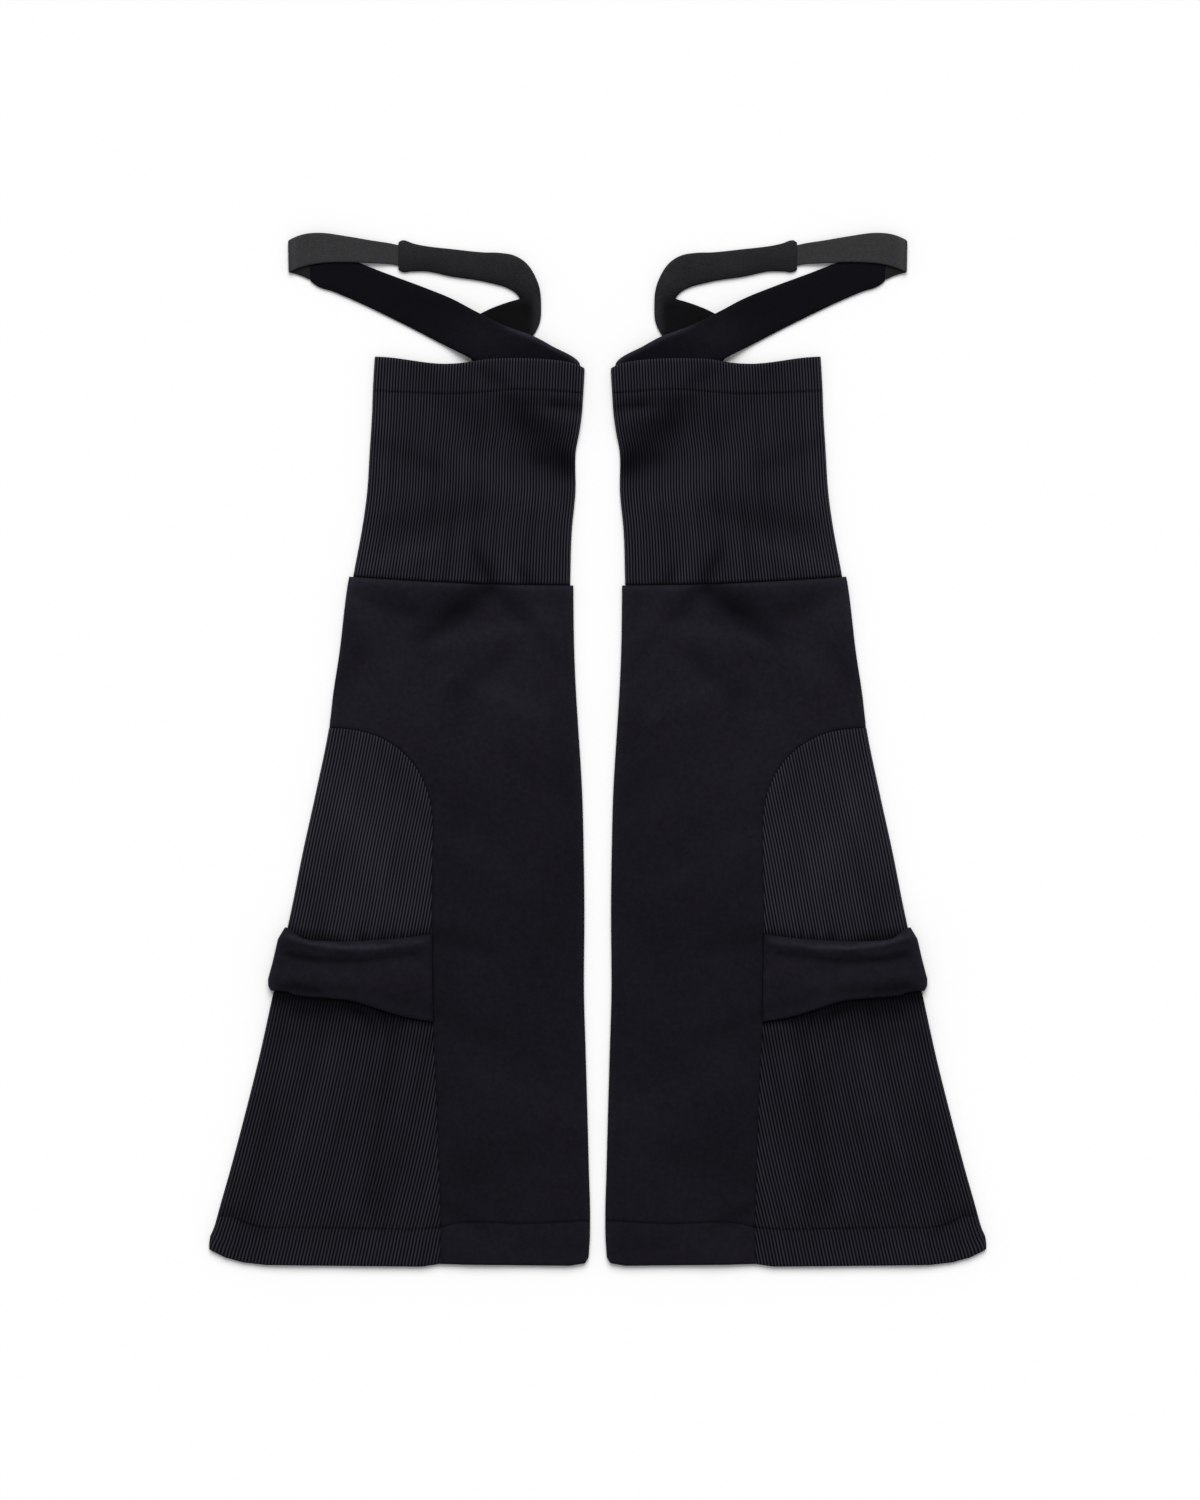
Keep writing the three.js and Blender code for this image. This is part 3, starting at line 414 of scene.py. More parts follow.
def makeRibKnit():
    material, tree, shader = newMaterial("ribKnit")
    uv, across, along, place = clothCoordinates(tree)
    wale = tree.nodes.new("ShaderNodeAttribute")
    wale.attribute_name = "wale"
    count = wale.outputs["Fac"]
    turn = mathNode(tree, "COSINE", mathNode(tree, "MULTIPLY", count, 2 * math.pi))
    ridge = mathNode(tree, "POWER", mathNode(tree, "MULTIPLY_ADD", turn, 0.5, 0.5), 1.6)
    patches = noiseNode(tree, place, 22.0)
    fibres = noiseNode(tree, place, 1900.0, 2.0, 0.7)
    run = tree.nodes.new("ShaderNodeCombineXYZ")
    wire(tree, mathNode(tree, "MULTIPLY", across, ribLook["streakAcross"]), run.inputs[0])
    wire(tree, mathNode(tree, "MULTIPLY", along, ribLook["streakAlong"]), run.inputs[1])
    streaks = noiseNode(tree, run.outputs[0], 1.0, 2.0)
    drift = mathNode(tree, "MULTIPLY_ADD", patches, 0.3, mathNode(tree, "MULTIPLY_ADD", streaks, 0.8, 0.45))
    grain = mathNode(tree, "MULTIPLY_ADD", fibres, 0.5, 0.75)
    # Painted shade: the colour runs from the dark valley colour between the ribs up to the ridge colour on their crowns
    lit = mathNode(tree, "MULTIPLY", ridge, mathNode(tree, "MULTIPLY", drift, grain))
    colour = mixColour(tree, lit, ribLook["shadedValley"], ribLook["ridge"])
    wire(tree, shaded(tree, colour), shader.inputs["Base Color"])
    wire(tree, mathNode(tree, "MULTIPLY_ADD", fibres, 0.16, 0.76), shader.inputs["Roughness"])
    shifted = mathNode(tree, "ADD", count, 0.5)
    knit = knitHeight(tree, mathNode(tree, "MULTIPLY", shifted, 1.0), along, ribLook["course"], ribLook["slant"])
    height = mathNode(tree, "MULTIPLY_ADD", knit, ribLook["courseShare"], mathNode(tree, "MULTIPLY", fibres, 0.35))
    addBump(tree, shader, height, ribLook["bump"], ribLook["bumpDepth"])
    setSheen(shader, ribLook)
    return material


smoothLook = {
    "dark": (0.0034, 0.0029, 0.0044, 1), "light": (0.0115, 0.0108, 0.0150, 1),
    "specular": 0.06, "specularTint": (0.78, 0.74, 1.0, 1),
    "sheen": 0.03, "sheenRoughness": 0.42, "sheenTint": (0.80, 0.77, 0.95, 1),
    "wale": 0.62, "course": 0.55, "bump": 0.28, "bumpDepth": 0.00007, "mottle": 0.95, "mottleScale": 300.0,
}
lowerStrapLook = {**smoothLook, "bump": 0.5, "mottle": 1.5, "mottleScale": 800.0}
strapLook = {
    **lowerStrapLook, "dark": (0.0070, 0.0067, 0.0082, 1), "light": (0.0268, 0.0260, 0.0286, 1),
    "specularTint": (0.95, 0.93, 1.0, 1),
}


def makeSmoothKnit(name, look):
    material, tree, shader = newMaterial(name)
    uv, across, along, place = clothCoordinates(tree)
    patches = noiseNode(tree, place, 14.0, 4.0)
    fibres = noiseNode(tree, place, 2600.0, 2.0, 0.7)
    streaks = noiseNode(tree, uv, 0.11, 2.0)
    mottle = noiseNode(tree, place, look["mottleScale"], 3.0, 0.65)
    mixed = mathNode(tree, "MULTIPLY_ADD", fibres, 0.25, mathNode(tree, "MULTIPLY", streaks, 0.25))
    mixed = mathNode(tree, "MULTIPLY_ADD", mottle, look["mottle"], mixed)
    mixed = mathNode(tree, "MULTIPLY_ADD", patches, 0.8, mathNode(tree, "SUBTRACT", mixed, 0.1 + look["mottle"] / 2))
    wire(tree, shaded(tree, mixColour(tree, mixed, look["dark"], look["light"])), shader.inputs["Base Color"])
    wire(tree, mathNode(tree, "MULTIPLY_ADD", patches, 0.12, 0.66), shader.inputs["Roughness"])
    knit = knitHeight(tree, mathNode(tree, "DIVIDE", across, look["wale"]), along, look["course"], 0.9)
    height = mathNode(tree, "MULTIPLY_ADD", fibres, 0.5, knit)
    addBump(tree, shader, height, look["bump"], look["bumpDepth"])
    setSheen(shader, look)
    return material


elasticLook = {
    "dark": (0.0150, 0.0150, 0.0160, 1), "light": (0.0430, 0.0430, 0.0446, 1),
    "specular": 0.07, "specularTint": (0.96, 0.96, 1.0, 1),
    "sheen": 0.03, "sheenRoughness": 0.4, "sheenTint": (0.9, 0.9, 0.92, 1), "mottle": 0.9,
    "cord": 0.95, "pick": 0.8, "bump": 0.6, "bumpDepth": 0.00014,
}


def makeElastic():
    material, tree, shader = newMaterial("wovenElastic")
    uv, across, along, place = clothCoordinates(tree)
    look = elasticLook
    cord = mathNode(tree, "SINE", mathNode(tree, "MULTIPLY", across, 2 * math.pi / look["cord"]))
    pick = mathNode(tree, "SINE", mathNode(tree, "MULTIPLY", along, 2 * math.pi / look["pick"]))
    woven = mathNode(tree, "MULTIPLY_ADD", mathNode(tree, "MULTIPLY", cord, pick), 0.25, mathNode(tree, "MULTIPLY_ADD", cord, 0.3, 0.5))
    fibres = noiseNode(tree, place, 1700.0, 3.0, 0.7)
    streaks = noiseNode(tree, uv, 0.45, 3.0)
    share = mathNode(tree, "MULTIPLY_ADD", woven, 0.35, mathNode(tree, "MULTIPLY_ADD", fibres, 0.35, mathNode(tree, "MULTIPLY", streaks, 0.3)))
    mottle = mathNode(tree, "SUBTRACT", noiseNode(tree, place, 600.0, 3.0, 0.65), 0.5)
    share = mathNode(tree, "MULTIPLY_ADD", mottle, look["mottle"], share)
    wire(tree, shaded(tree, mixColour(tree, share, look["dark"], look["light"])), shader.inputs["Base Color"])
    shader.inputs["Roughness"].default_value = 0.7
    addBump(tree, shader, mathNode(tree, "MULTIPLY_ADD", fibres, 0.4, woven), look["bump"], look["bumpDepth"])
    setSheen(shader, look)
    return material


def makeThread():
    material, tree, shader = newMaterial("sewingThread")
    place = tree.nodes.new("ShaderNodeTexCoord").outputs["Object"]
    twist = noiseNode(tree, place, 2400.0, 2.0)
    wire(tree, mixColour(tree, twist, (0.0012, 0.0012, 0.0016, 1), (0.0040, 0.0040, 0.0048, 1)), shader.inputs["Base Color"])
    shader.inputs["Roughness"].default_value = 0.8
    shader.inputs["Specular IOR Level"].default_value = 0.06
    addBump(tree, shader, twist, 0.4, 0.00006)
    return material


ribKnit = makeRibKnit()
smoothKnit = makeSmoothKnit("smoothKnit", smoothLook)
strapKnit = makeSmoothKnit("strapKnit", strapLook)
lowerStrapKnit = makeSmoothKnit("lowerStrapKnit", lowerStrapLook)
wovenElastic = makeElastic()
sewingThread = makeThread()
print("materials made")


# Geometry Nodes

def newTree(name, inputs):
    tree = bpy.data.node_groups.new(name, "GeometryNodeTree")
    tree.interface.new_socket("Geometry", in_out="INPUT", socket_type="NodeSocketGeometry")
    tree.interface.new_socket("Geometry", in_out="OUTPUT", socket_type="NodeSocketGeometry")
    sockets = {}
    for label, kind in inputs.items():
        sockets[label] = tree.interface.new_socket(label, in_out="INPUT", socket_type=kind).identifier
    return tree, sockets, tree.nodes.new("NodeGroupInput"), tree.nodes.new("NodeGroupOutput")


def endTree(tree, geometry, start, end):
    real = tree.nodes.new("GeometryNodeRealizeInstances")
    paint = tree.nodes.new("GeometryNodeSetMaterial")
    tree.links.new(geometry, real.inputs[0])
    tree.links.new(real.outputs[0], paint.inputs["Geometry"])
    tree.links.new(start.outputs["Material"], paint.inputs["Material"])
    tree.links.new(paint.outputs[0], end.inputs[0])


def namedValue(tree, name):
    node = tree.nodes.new("GeometryNodeInputNamedAttribute")
    node.data_type = "FLOAT"
    node.inputs["Name"].default_value = name
    return node.outputs["Attribute"]


# Ribs: the cloth is pressed in between the rows that "wale" counts, as deep as "ribRoom" lets it
def makeRibTree():
    tree, sockets, start, end = newTree(
        "ribRows", {"Depth": "NodeSocketFloat", "Fullness": "NodeSocketFloat", "Material": "NodeSocketMaterial"}
    )
    turn = mathNode(tree, "COSINE", mathNode(tree, "MULTIPLY", namedValue(tree, "wale"), 2 * math.pi))
    ridge = mathNode(tree, "POWER", mathNode(tree, "MULTIPLY_ADD", turn, 0.4999, 0.5001), start.outputs["Fullness"])
    pressed = mathNode(tree, "SUBTRACT", ridge, 1.0)
    depth = mathNode(tree, "MULTIPLY", mathNode(tree, "MULTIPLY", pressed, namedValue(tree, "ribRoom")), start.outputs["Depth"])
    normal = tree.nodes.new("GeometryNodeInputNormal")
    offset = tree.nodes.new("ShaderNodeVectorMath")
    offset.operation = "SCALE"
    tree.links.new(normal.outputs["Normal"], offset.inputs[0])
    tree.links.new(depth, offset.inputs["Scale"])
    move = tree.nodes.new("GeometryNodeSetPosition")
    tree.links.new(start.outputs["Geometry"], move.inputs["Geometry"])
    tree.links.new(offset.outputs[0], move.inputs["Offset"])
    endTree(tree, move.outputs[0], start, end)
    return tree, sockets


# Stitches: one on each step along the lines of a mesh
def makeStitchTree():
    tree, sockets, start, end = newTree("stitchRow", {
        "Pitch": "NodeSocketFloat", "Length": "NodeSocketFloat", "Thickness": "NodeSocketFloat",
        "Seed": "NodeSocketInt", "Material": "NodeSocketMaterial",
    })
    line = tree.nodes.new("GeometryNodeMeshToCurve")
    tree.links.new(start.outputs["Geometry"], line.inputs["Mesh"])
    steps = tree.nodes.new("GeometryNodeResampleCurve")
    steps.mode = "LENGTH"
    tree.links.new(line.outputs[0], steps.inputs["Curve"])
    tree.links.new(start.outputs["Pitch"], steps.inputs["Length"])
    ball = tree.nodes.new("GeometryNodeMeshUVSphere")
    ball.inputs["Segments"].default_value = 8
    ball.inputs["Rings"].default_value = 6
    ball.inputs["Radius"].default_value = 0.5
    shape = tree.nodes.new("ShaderNodeCombineXYZ")
    tree.links.new(start.outputs["Length"], shape.inputs[0])
    tree.links.new(start.outputs["Thickness"], shape.inputs[1])
    tree.links.new(mathNode(tree, "MULTIPLY", start.outputs["Thickness"], 0.8), shape.inputs[2])
    form = tree.nodes.new("GeometryNodeTransform")
    tree.links.new(ball.outputs[0], form.inputs["Geometry"])
    tree.links.new(shape.outputs[0], form.inputs["Scale"])
    tangent = tree.nodes.new("GeometryNodeInputTangent")
    align = tree.nodes.new("FunctionNodeAlignEulerToVector")
    align.axis = "X"
    tree.links.new(tangent.outputs[0], align.inputs["Vector"])
    chance = tree.nodes.new("FunctionNodeRandomValue")
    chance.data_type = "FLOAT_VECTOR"
    chance.inputs[0].default_value = (0.86, 0.9, 0.9)
    chance.inputs[1].default_value = (1.1, 1.1, 1.1)
    tree.links.new(start.outputs["Seed"], chance.inputs["Seed"])
    put = tree.nodes.new("GeometryNodeInstanceOnPoints")
    tree.links.new(steps.outputs[0], put.inputs["Points"])
    tree.links.new(form.outputs[0], put.inputs["Instance"])
    tree.links.new(align.outputs[0], put.inputs["Rotation"])
    tree.links.new(chance.outputs[0], put.inputs["Scale"])
    endTree(tree, put.outputs[0], start, end)
    return tree, sockets


ribTree = makeRibTree()
stitchTree = makeStitchTree()


# Runs a tree on a mesh and keeps the result as a plain mesh
def bakeTree(piece, treeAndSockets, values):
    tree, sockets = treeAndSockets
    modifier = piece.modifiers.new("shape", "NODES")
    modifier.node_group = tree
    for label, value in values.items():
        modifier[sockets[label]] = value
    bpy.context.view_layer.update()
    graph = bpy.context.evaluated_depsgraph_get()
    result = bpy.data.meshes.new_from_object(piece.evaluated_get(graph), preserve_all_data_layers=True, depsgraph=graph)
    piece.modifiers.remove(modifier)
    old = piece.data
    piece.data = result
    bpy.data.meshes.remove(old)
    result.name = piece.name
    return piece


# Shells: an outer and an inner sheet of points, joined along their open edges

def quadsOf(grid, turned):
    corners = [grid[:-1, :-1], grid[1:, :-1], grid[1:, 1:], grid[:-1, 1:]]
    if turned:
        corners = [corners[0], corners[3], corners[2], corners[1]]
    return np.stack([corner.reshape(-1, *grid.shape[2:]) for corner in corners], 1)


def meshFrom(name, side, points, faces, faceUv, material, attributes=()):
    used = np.unique(np.concatenate([np.asarray(face).ravel() for face in faces]))
    renumber = np.zeros(len(points), int)
    renumber[used] = np.arange(len(used))
    places = points[used].copy()
    places[:, 1] += planShift
    places[:, 0] *= side
    places *= mm
    polygons, corners = [], []
    for group, uvs in zip(faces, faceUv):
        polygons += renumber[group].tolist()
        corners.append(uvs.reshape(-1, 2))
    corners = np.concatenate(corners)
    triangles = [(p[0], p[k], p[k + 1]) for p in polygons for k in range(1, len(p) - 1)]
    a, b, c = (places[[t[k] for t in triangles]] for k in range(3))
    if np.einsum("ij,ij->i", a, np.cross(b, c)).sum() < 0:
        starts = np.cumsum([0] + [len(p) for p in polygons])
        corners = np.concatenate([corners[starts[k]:starts[k + 1]][::-1] for k in range(len(polygons))])
        polygons = [p[::-1] for p in polygons]
    mesh = bpy.data.meshes.new(name)
    mesh.from_pydata(places.tolist(), [], polygons)
    layer = mesh.uv_layers.new(name="cloth")
    layer.data.foreach_set("uv", corners.astype(np.float32).ravel())
    for label, values in dict(attributes).items():
        attribute = mesh.attributes.new(label, "FLOAT", "POINT")
        attribute.data.foreach_set("value", np.asarray(values)[used].astype(np.float32))
    mesh.materials.append(material)
    mesh.shade_smooth()
    piece = bpy.data.objects.new(name, mesh)
    bpy.context.scene.collection.objects.link(piece)
    return piece


# closed: the columns go all round. weldTo: down to this row both side edges are one and the same.
def makeShell(
    name, side, outer, inner, material, across, up,
    closed=False, weldTo=0, bulge=(0.3, 0.3), shade=1.0, wale=None, ribRoom=None,
):
    rows, columns = outer.shape[:2]
    outerIndex = np.arange(rows * columns).reshape(rows, columns)
    if closed:
        outerIndex = np.concatenate([outerIndex, outerIndex[:, :1]], 1)
    elif weldTo:
        outerIndex[:weldTo + 1, -1] = outerIndex[:weldTo + 1, 0]
    innerIndex = outerIndex + rows * columns
    points = [outer.reshape(-1, 3), inner.reshape(-1, 3)]
    uv = np.stack(np.broadcast_arrays(across, up), -1)
    faces = [quadsOf(outerIndex, False), quadsOf(innerIndex, True)]
    faceUv = [quadsOf(uv, False), quadsOf(uv, True)]
    count = 2 * rows * columns
    for row, beside, turned, size in ((0, 1, True, bulge[0]), (-1, -2, False, bulge[1])):
        away = outer[row] - outer[beside]
        away /= np.maximum(np.linalg.norm(away, axis=1, keepdims=True), 1e-6)
        points.append((outer[row] + inner[row]) / 2 + away * size)
        middle = np.arange(count, count + columns)
        count += columns
        if closed or (weldTo and row == 0):
            middle = np.concatenate([middle[:columns if closed else -1], middle[:1]])
        strip = np.stack([outerIndex[row], middle, innerIndex[row]])
        faces.append(quadsOf(strip, turned))
        faceUv.append(quadsOf(np.stack([uv[row]] * 3), turned))
        if not closed and not (weldTo and row == 0):
            for column in (0, -1):
                corner = [outerIndex[row, column], innerIndex[row, column], middle[column]]
                if (row == 0) == (column == 0):
                    corner = [corner[1], corner[0], corner[2]]
                faces.append(np.array([corner]))
                faceUv.append(np.stack([uv[row, column]] * 3)[None])
    if not closed:
        for column, turned in ((0, True), (-1, False)):
            strip = np.stack([outerIndex[weldTo:, column], innerIndex[weldTo:, column]], 1)
            faces.append(quadsOf(strip, turned))
            faceUv.append(quadsOf(np.stack([uv[weldTo:, column]] * 2, 1), turned))
    points = np.concatenate(points)
    attributes = {}
    for label, values in (("shade", shade), ("wale", wale), ("ribRoom", ribRoom)):
        if values is not None:
            spread = np.broadcast_to(values, (rows, columns)).astype(float)
            within = spread * 0 if label == "ribRoom" else spread
            attributes[label] = np.concatenate([spread.ravel(), within.ravel(), within[0], within[-1]])
    return meshFrom(name, side, points, faces, faceUv, material, attributes)


def plan(out, along, z):
    return np.stack(np.broadcast_arrays(out, along, z), -1)


# Shares of the way across a flat tube: round one fold, straight on, round the other
def acrossTube(count, turn):
    k = np.arange(count + 1)
    first = np.clip(k / turn, 0, 1) * math.pi / 2
    last = np.clip((count - k) / turn, 0, 1) * math.pi / 2
    middle = np.clip((k - turn) / (count - 2 * turn), 0, 1)
    return 1 - np.cos(first), middle, np.cos(last), np.minimum(np.sin(first), np.sin(last))


layers = {"floor": 1.8, "foldMiddle": 1.75, "puff": 0.5, "backWall": 1.4, "sideWall": 1.3, "rise": 1.0}


def puffAt(out, inner, outer):
    return layers["puff"] * np.sin(math.pi * np.clip((out - inner) / (outer - inner), 0, 1))


def hemShape(along, line, towards, size):
    past = (along - line) * towards
    return size * smoothStep(past, -0.6, 1.2) - 0.42 * np.exp(-((past / 0.8) ** 2))


cuff = {
    "ribs": 74, "perRib": 4, "turnRibs": 2, "wall": 1.8, "ribDepth": 0.62, "fullness": 0.7,
    "foldRadius": 2.4, "endRadius": 2.0, "seamRadius": 2.6, "top": 273.0, "seam": 116.7, "rowStep": 3.7,
    "hem": 0.4, "backRib": 0.6, "foldDepth": 1.2, "shading": 0.46, "base": 0.97,
}


def makeCuff(side, name):
    own = cuff
    stations = placesBetween(own["rowStep"], own["top"], own["top"] - 0.5, own["top"] - 1.4, own["top"] - 2.6, 254)
    stations = np.concatenate([stations, placesBetween(0.9, 253.2, 248.0)])
    stations = np.concatenate([stations, placesBetween(own["rowStep"], 245.5, own["seam"] + 3.4), own["seam"] + np.array([2.2, 1.2, 0.5, 0])])
    station = stations[:, None]
    near, middle, far, full = acrossTube(own["ribs"] * own["perRib"], own["turnRibs"] * own["perRib"])
    inner, outer = cuffInner(station), cuffOuter(station)
    radius, wall = own["foldRadius"], own["wall"]
    flat = outer - inner - 2 * radius

    def sheet(front, inside):
        sideways = layers["sideWall"] if inside else 0
        out = inner + sideways + (radius - sideways) * (near + far) + flat * middle
        towardsTop = smoothStep(station, 225, own["top"])
        towardsSeam = smoothStep(station, 165, own["seam"])
        along = station + (cuffTopAt(out) - own["top"]) * towardsTop + (yokeTopAt(out) + 0.02 - own["seam"]) * towardsSeam
        toTop, toSeam = own["top"] - station, station - own["seam"]
        edge = lerp(0.55, 1, roundOver(toTop, own["endRadius"])) * lerp(0.3, 1, roundOver(toSeam, own["seamRadius"]))
        lift = strapRoomAt(out) * smoothStep(along, 208, 251)
        relief = reliefOf(cuffFolds, out, along) * own["foldDepth"] + unevenAt(out, along) * 0.7
        relief += puckerAt(out, toSeam, 0.3, 9.0)
        relief += hemShape(along, cuffLineAt(out), 1, own["hem"])
        fold = layers["foldMiddle"] + lift * 0.3
        if not front:
            fold = fold + 0 * out
            base = layers["rise"] * (1 - roundOver(toSeam, own["seamRadius"]))
            z = lerp(fold, layers["backWall"] + 0.12 * full if inside else base, full)
            return plan(out, along, z)
        low = layers["floor"] + lift + puffAt(out, inner, outer)
        low = low + np.maximum(relief, layers["floor"] - low - 0.2) * 0.75
        top = low + wall * edge + relief * 0.25 + 0.35 * (1 - roundOver(toTop, 3)) * inside
        z = lerp(fold, low + 0.3 * (1 - roundOver(toTop, 3)) if inside else top, full)
        return plan(out, along, z)

    def round_(inside):
        return np.concatenate([sheet(True, inside), sheet(False, inside)[:, -2:0:-1]], 1)

    columns = own["ribs"] * own["perRib"] * 2
    wale = np.arange(columns + 1) / own["perRib"]
    room = np.where(np.arange(columns) <= columns / 2, 1.0, own["backRib"])
    ends = lerp(0.35, 1, roundOver(own["top"] - station, 1.5)) * lerp(0.3, 1, roundOver(station - own["seam"], 2.6))
    lineDepth = 1 - 0.45 * np.exp(-(((station - 250.8) / 1.2) ** 2))
    rings = round_(False)
    # Painted light and shade on the cuff: a highlight along its top edge, shade in the ditch at the seam and in the
    # hem's stitch groove, highlights along its folds
    cuffPaintedLight = own["base"] * (1 + 0.3 * np.exp(-(((own["top"] - station) / 2.0) ** 2))) * lerp(0.25, 1, smoothStep(station - own["seam"], 0, 3.0)) * hemPaintedShade(rings, cuffLineAt, 1, 0.0, 0.4)
    cuffPaintedLight = cuffPaintedLight * foldPaintedLight(rings, cuffInner, cuffOuter)
    piece = makeShell(
        name, side, rings, round_(True), ribKnit, wale * 2.0, -station, closed=True, bulge=(0.35, 0.0),
        shade=paintedFoldShade(cuffFolds, rings, own["shading"], cuffPaintedLight), wale=wale[:-1], ribRoom=room * ends * lineDepth,
    )
    return bakeTree(piece, ribTree, {"Depth": own["ribDepth"] * mm, "Fullness": own["fullness"], "Material": ribKnit})


mainPanel = {
    "wall": 2.0, "radius": 3.0, "turn": 7, "frontColumns": 62, "backColumns": 24, "top": 116.7, "hem": -360.0,
    "rowStep": 3.4, "archRows": 46, "hemSize": 0.6, "endRadius": 2.2, "foldDepth": 1.4, "shading": 0.27, "hemLight": 0.16, "rimLight": 0.2,
}


# The panel's outer boundary: the fold down to the arch, round the arch, and down the leg seam
def panelBoundary():
    own = mainPanel
    corner = arch["spring"] + arch["height"]
    fold = np.concatenate([own["top"] - np.array([0, 0.5, 1.2, 2.2, 3.4]), placesBetween(own["rowStep"], own["top"] - 6, corner + 4.4)])
    angle = np.linspace(math.pi / 2, 0, own["archRows"] + 1)
    flat, rise = np.cos(angle).clip(0) ** (2 / arch["power"]), np.sin(angle) ** (2 / arch["power"])
    seam = np.concatenate([
        placesBetween(own["rowStep"], arch["spring"] - 3.4, -324), placesBetween(0.9, -325.2, -335.5),
        placesBetween(own["rowStep"], -338, -355.5), np.array([-357.2, -358.4, -359.3, own["hem"]]),
    ])
    out = np.concatenate([bodyOuter(fold), arch["corner"] - arch["width"] * flat, legSeamAt(seam)])
    along = np.concatenate([fold, arch["spring"] + arch["height"] * rise, seam])
    normals = np.concatenate([
        np.tile([-1.0, 0.0], (len(fold), 1)),
        np.stack([-(flat ** (arch["power"] - 1)) / arch["width"], rise ** (arch["power"] - 1) / arch["height"]], 1),
        np.tile([-1.0, 0.0], (len(seam), 1)),
    ])
    weldTo = len(fold)
    normals /= np.linalg.norm(normals, axis=1, keepdims=True)
    normals[weldTo] = (-0.5, 1.08)
    onBoundary = np.concatenate([[0], np.cumsum(np.hypot(np.diff(out), np.diff(along)))])
    return out[:, None], along[:, None], normals, weldTo, onBoundary[:, None]


def makeMain(side, name):
    own = mainPanel
    edgeOut, edgeAlong, normals, weldTo, onBoundary = panelBoundary()
    radius, wall, turn = own["radius"], own["wall"], own["turn"]
    intoOut, intoAlong = normals[:, :1], normals[:, 1:]
    seamness = smoothStep(onBoundary, onBoundary[weldTo], onBoundary[weldTo] + 12)
    # the rows fan out: even along the inner fold, and along the boundary as it runs
    toHem = smoothStep(onBoundary, onBoundary[weldTo] + 110, onBoundary[-1])
    share = lerp(onBoundary / onBoundary[-1] * (own["top"] - own["hem"]), own["top"] - edgeAlong, toHem)
    early = 1 - smoothStep(onBoundary, 0, 12)
    foldAlong = lerp(own["top"] - share, edgeAlong, early)

    def sheet(front, inside):
        count = own["frontColumns"] if front else own["backColumns"]
        near, middle, far, full = acrossTube(count + 2 * turn, turn)
        atFold = np.where(np.arange(len(full)) > turn, full, 1.0)
        atEdge = np.where(np.arange(len(full)) <= turn, full, 1.0)
        sideEdge = layers["sideWall"] * (1 - seamness) if inside else 0
        sideFold = layers["sideWall"] if inside else 0
        startOut, startAlong = edgeOut + intoOut * radius, edgeAlong + intoAlong * radius
        inward = sideEdge + (radius - sideEdge) * near
        endOut = bodyInner(foldAlong) + radius
        isEdge = np.arange(len(full)) <= turn
        out = np.where(isEdge, edgeOut + intoOut * inward, lerp(startOut, endOut, middle) - (radius - sideFold) * (far))
        along = np.where(isEdge, edgeAlong + intoAlong * inward, lerp(startAlong, foldAlong, middle))
        towardsTop = smoothStep(along, 60, own["top"])
        towardsHem = smoothStep(along, -335, own["hem"])
        along = along + (yokeTopAt(out) - own["top"]) * towardsTop + (hemAt(out) - own["hem"]) * towardsHem
        toTop = own["top"] - edgeAlong * early - foldAlong * (1 - early)
        toTop = np.maximum(0, yokeTopAt(out) - along)
        toHem = np.maximum(0, along - hemAt(out))
        if not front:
            base = layers["rise"] * np.maximum(1 - atEdge, 1 - roundOver(toTop, radius)) * seamness
            base = np.maximum(base, layers["rise"] * (1 - roundOver(toTop, radius)))
            edge = lerp(layers["foldMiddle"], layers["rise"] if not inside else layers["backWall"] + 0.1, seamness)
            z = layers["backWall"] + 0 * out if inside else base
            z = lerp(edge, z, atEdge)
            return plan(out, along, lerp(layers["foldMiddle"], z, atFold))
        fromSeam = np.where(edgeAlong < arch["spring"], out - edgeOut, -10)
        relief = reliefOf(mainFolds, out, along) * own["foldDepth"] + unevenAt(out, along)
        toBoundary = np.abs(edgeOut + 0 * out - out)
        relief += puckerAt(onBoundary + 0 * out, toBoundary, 0.26, 6.0) * seamness
        relief += puckerAt(out * 0.8 + 3, toTop, 0.5, 8.0)
        relief += 0.55 * np.exp(-(((toTop - 6.5) / 5.0) ** 2))
        relief += hemShape(along, hemLineAt(out), -1, own["hemSize"])
        relief += 0.16 * np.sin(out * 0.9) * np.exp(-(((along - hemLineAt(out)) / 3.0) ** 2))
        lift = bandLiftAt(along) * smoothStep(out, 85, 114)
        low = layers["floor"] + lift + puffAt(out, bodyInner(along), bodyOuter(along))
        low = low + np.maximum(relief * 0.7, layers["floor"] - low - 0.2)
        topRound = roundOver(toTop, radius)
        hemRound = roundOver(toHem, own["endRadius"])
        if inside:
            surface = low + 0.35 * (1 - hemRound)
            edge = lerp(layers["foldMiddle"], low, seamness)
        else:
            surface = low + wall * lerp(0.3, 1, topRound) * lerp(0.5, 1, hemRound) + relief * 0.3 * topRound
            edge = lerp(layers["foldMiddle"], low + 0.3 * wall, seamness)
        z = lerp(edge, surface, atEdge)
        return plan(out, along, lerp(layers["foldMiddle"], z, atFold))

    def round_(inside):
        return np.concatenate([sheet(True, inside), sheet(False, inside)[:, -2::-1]], 1)

    outer = round_(False)
    across = np.concatenate([np.zeros((len(outer), 1)), np.cumsum(np.hypot(np.diff(outer[..., 0], axis=1), np.diff(outer[..., 2], axis=1)), 1)], 1)
    across = across - across[:, [own["frontColumns"] + 2 * turn]]
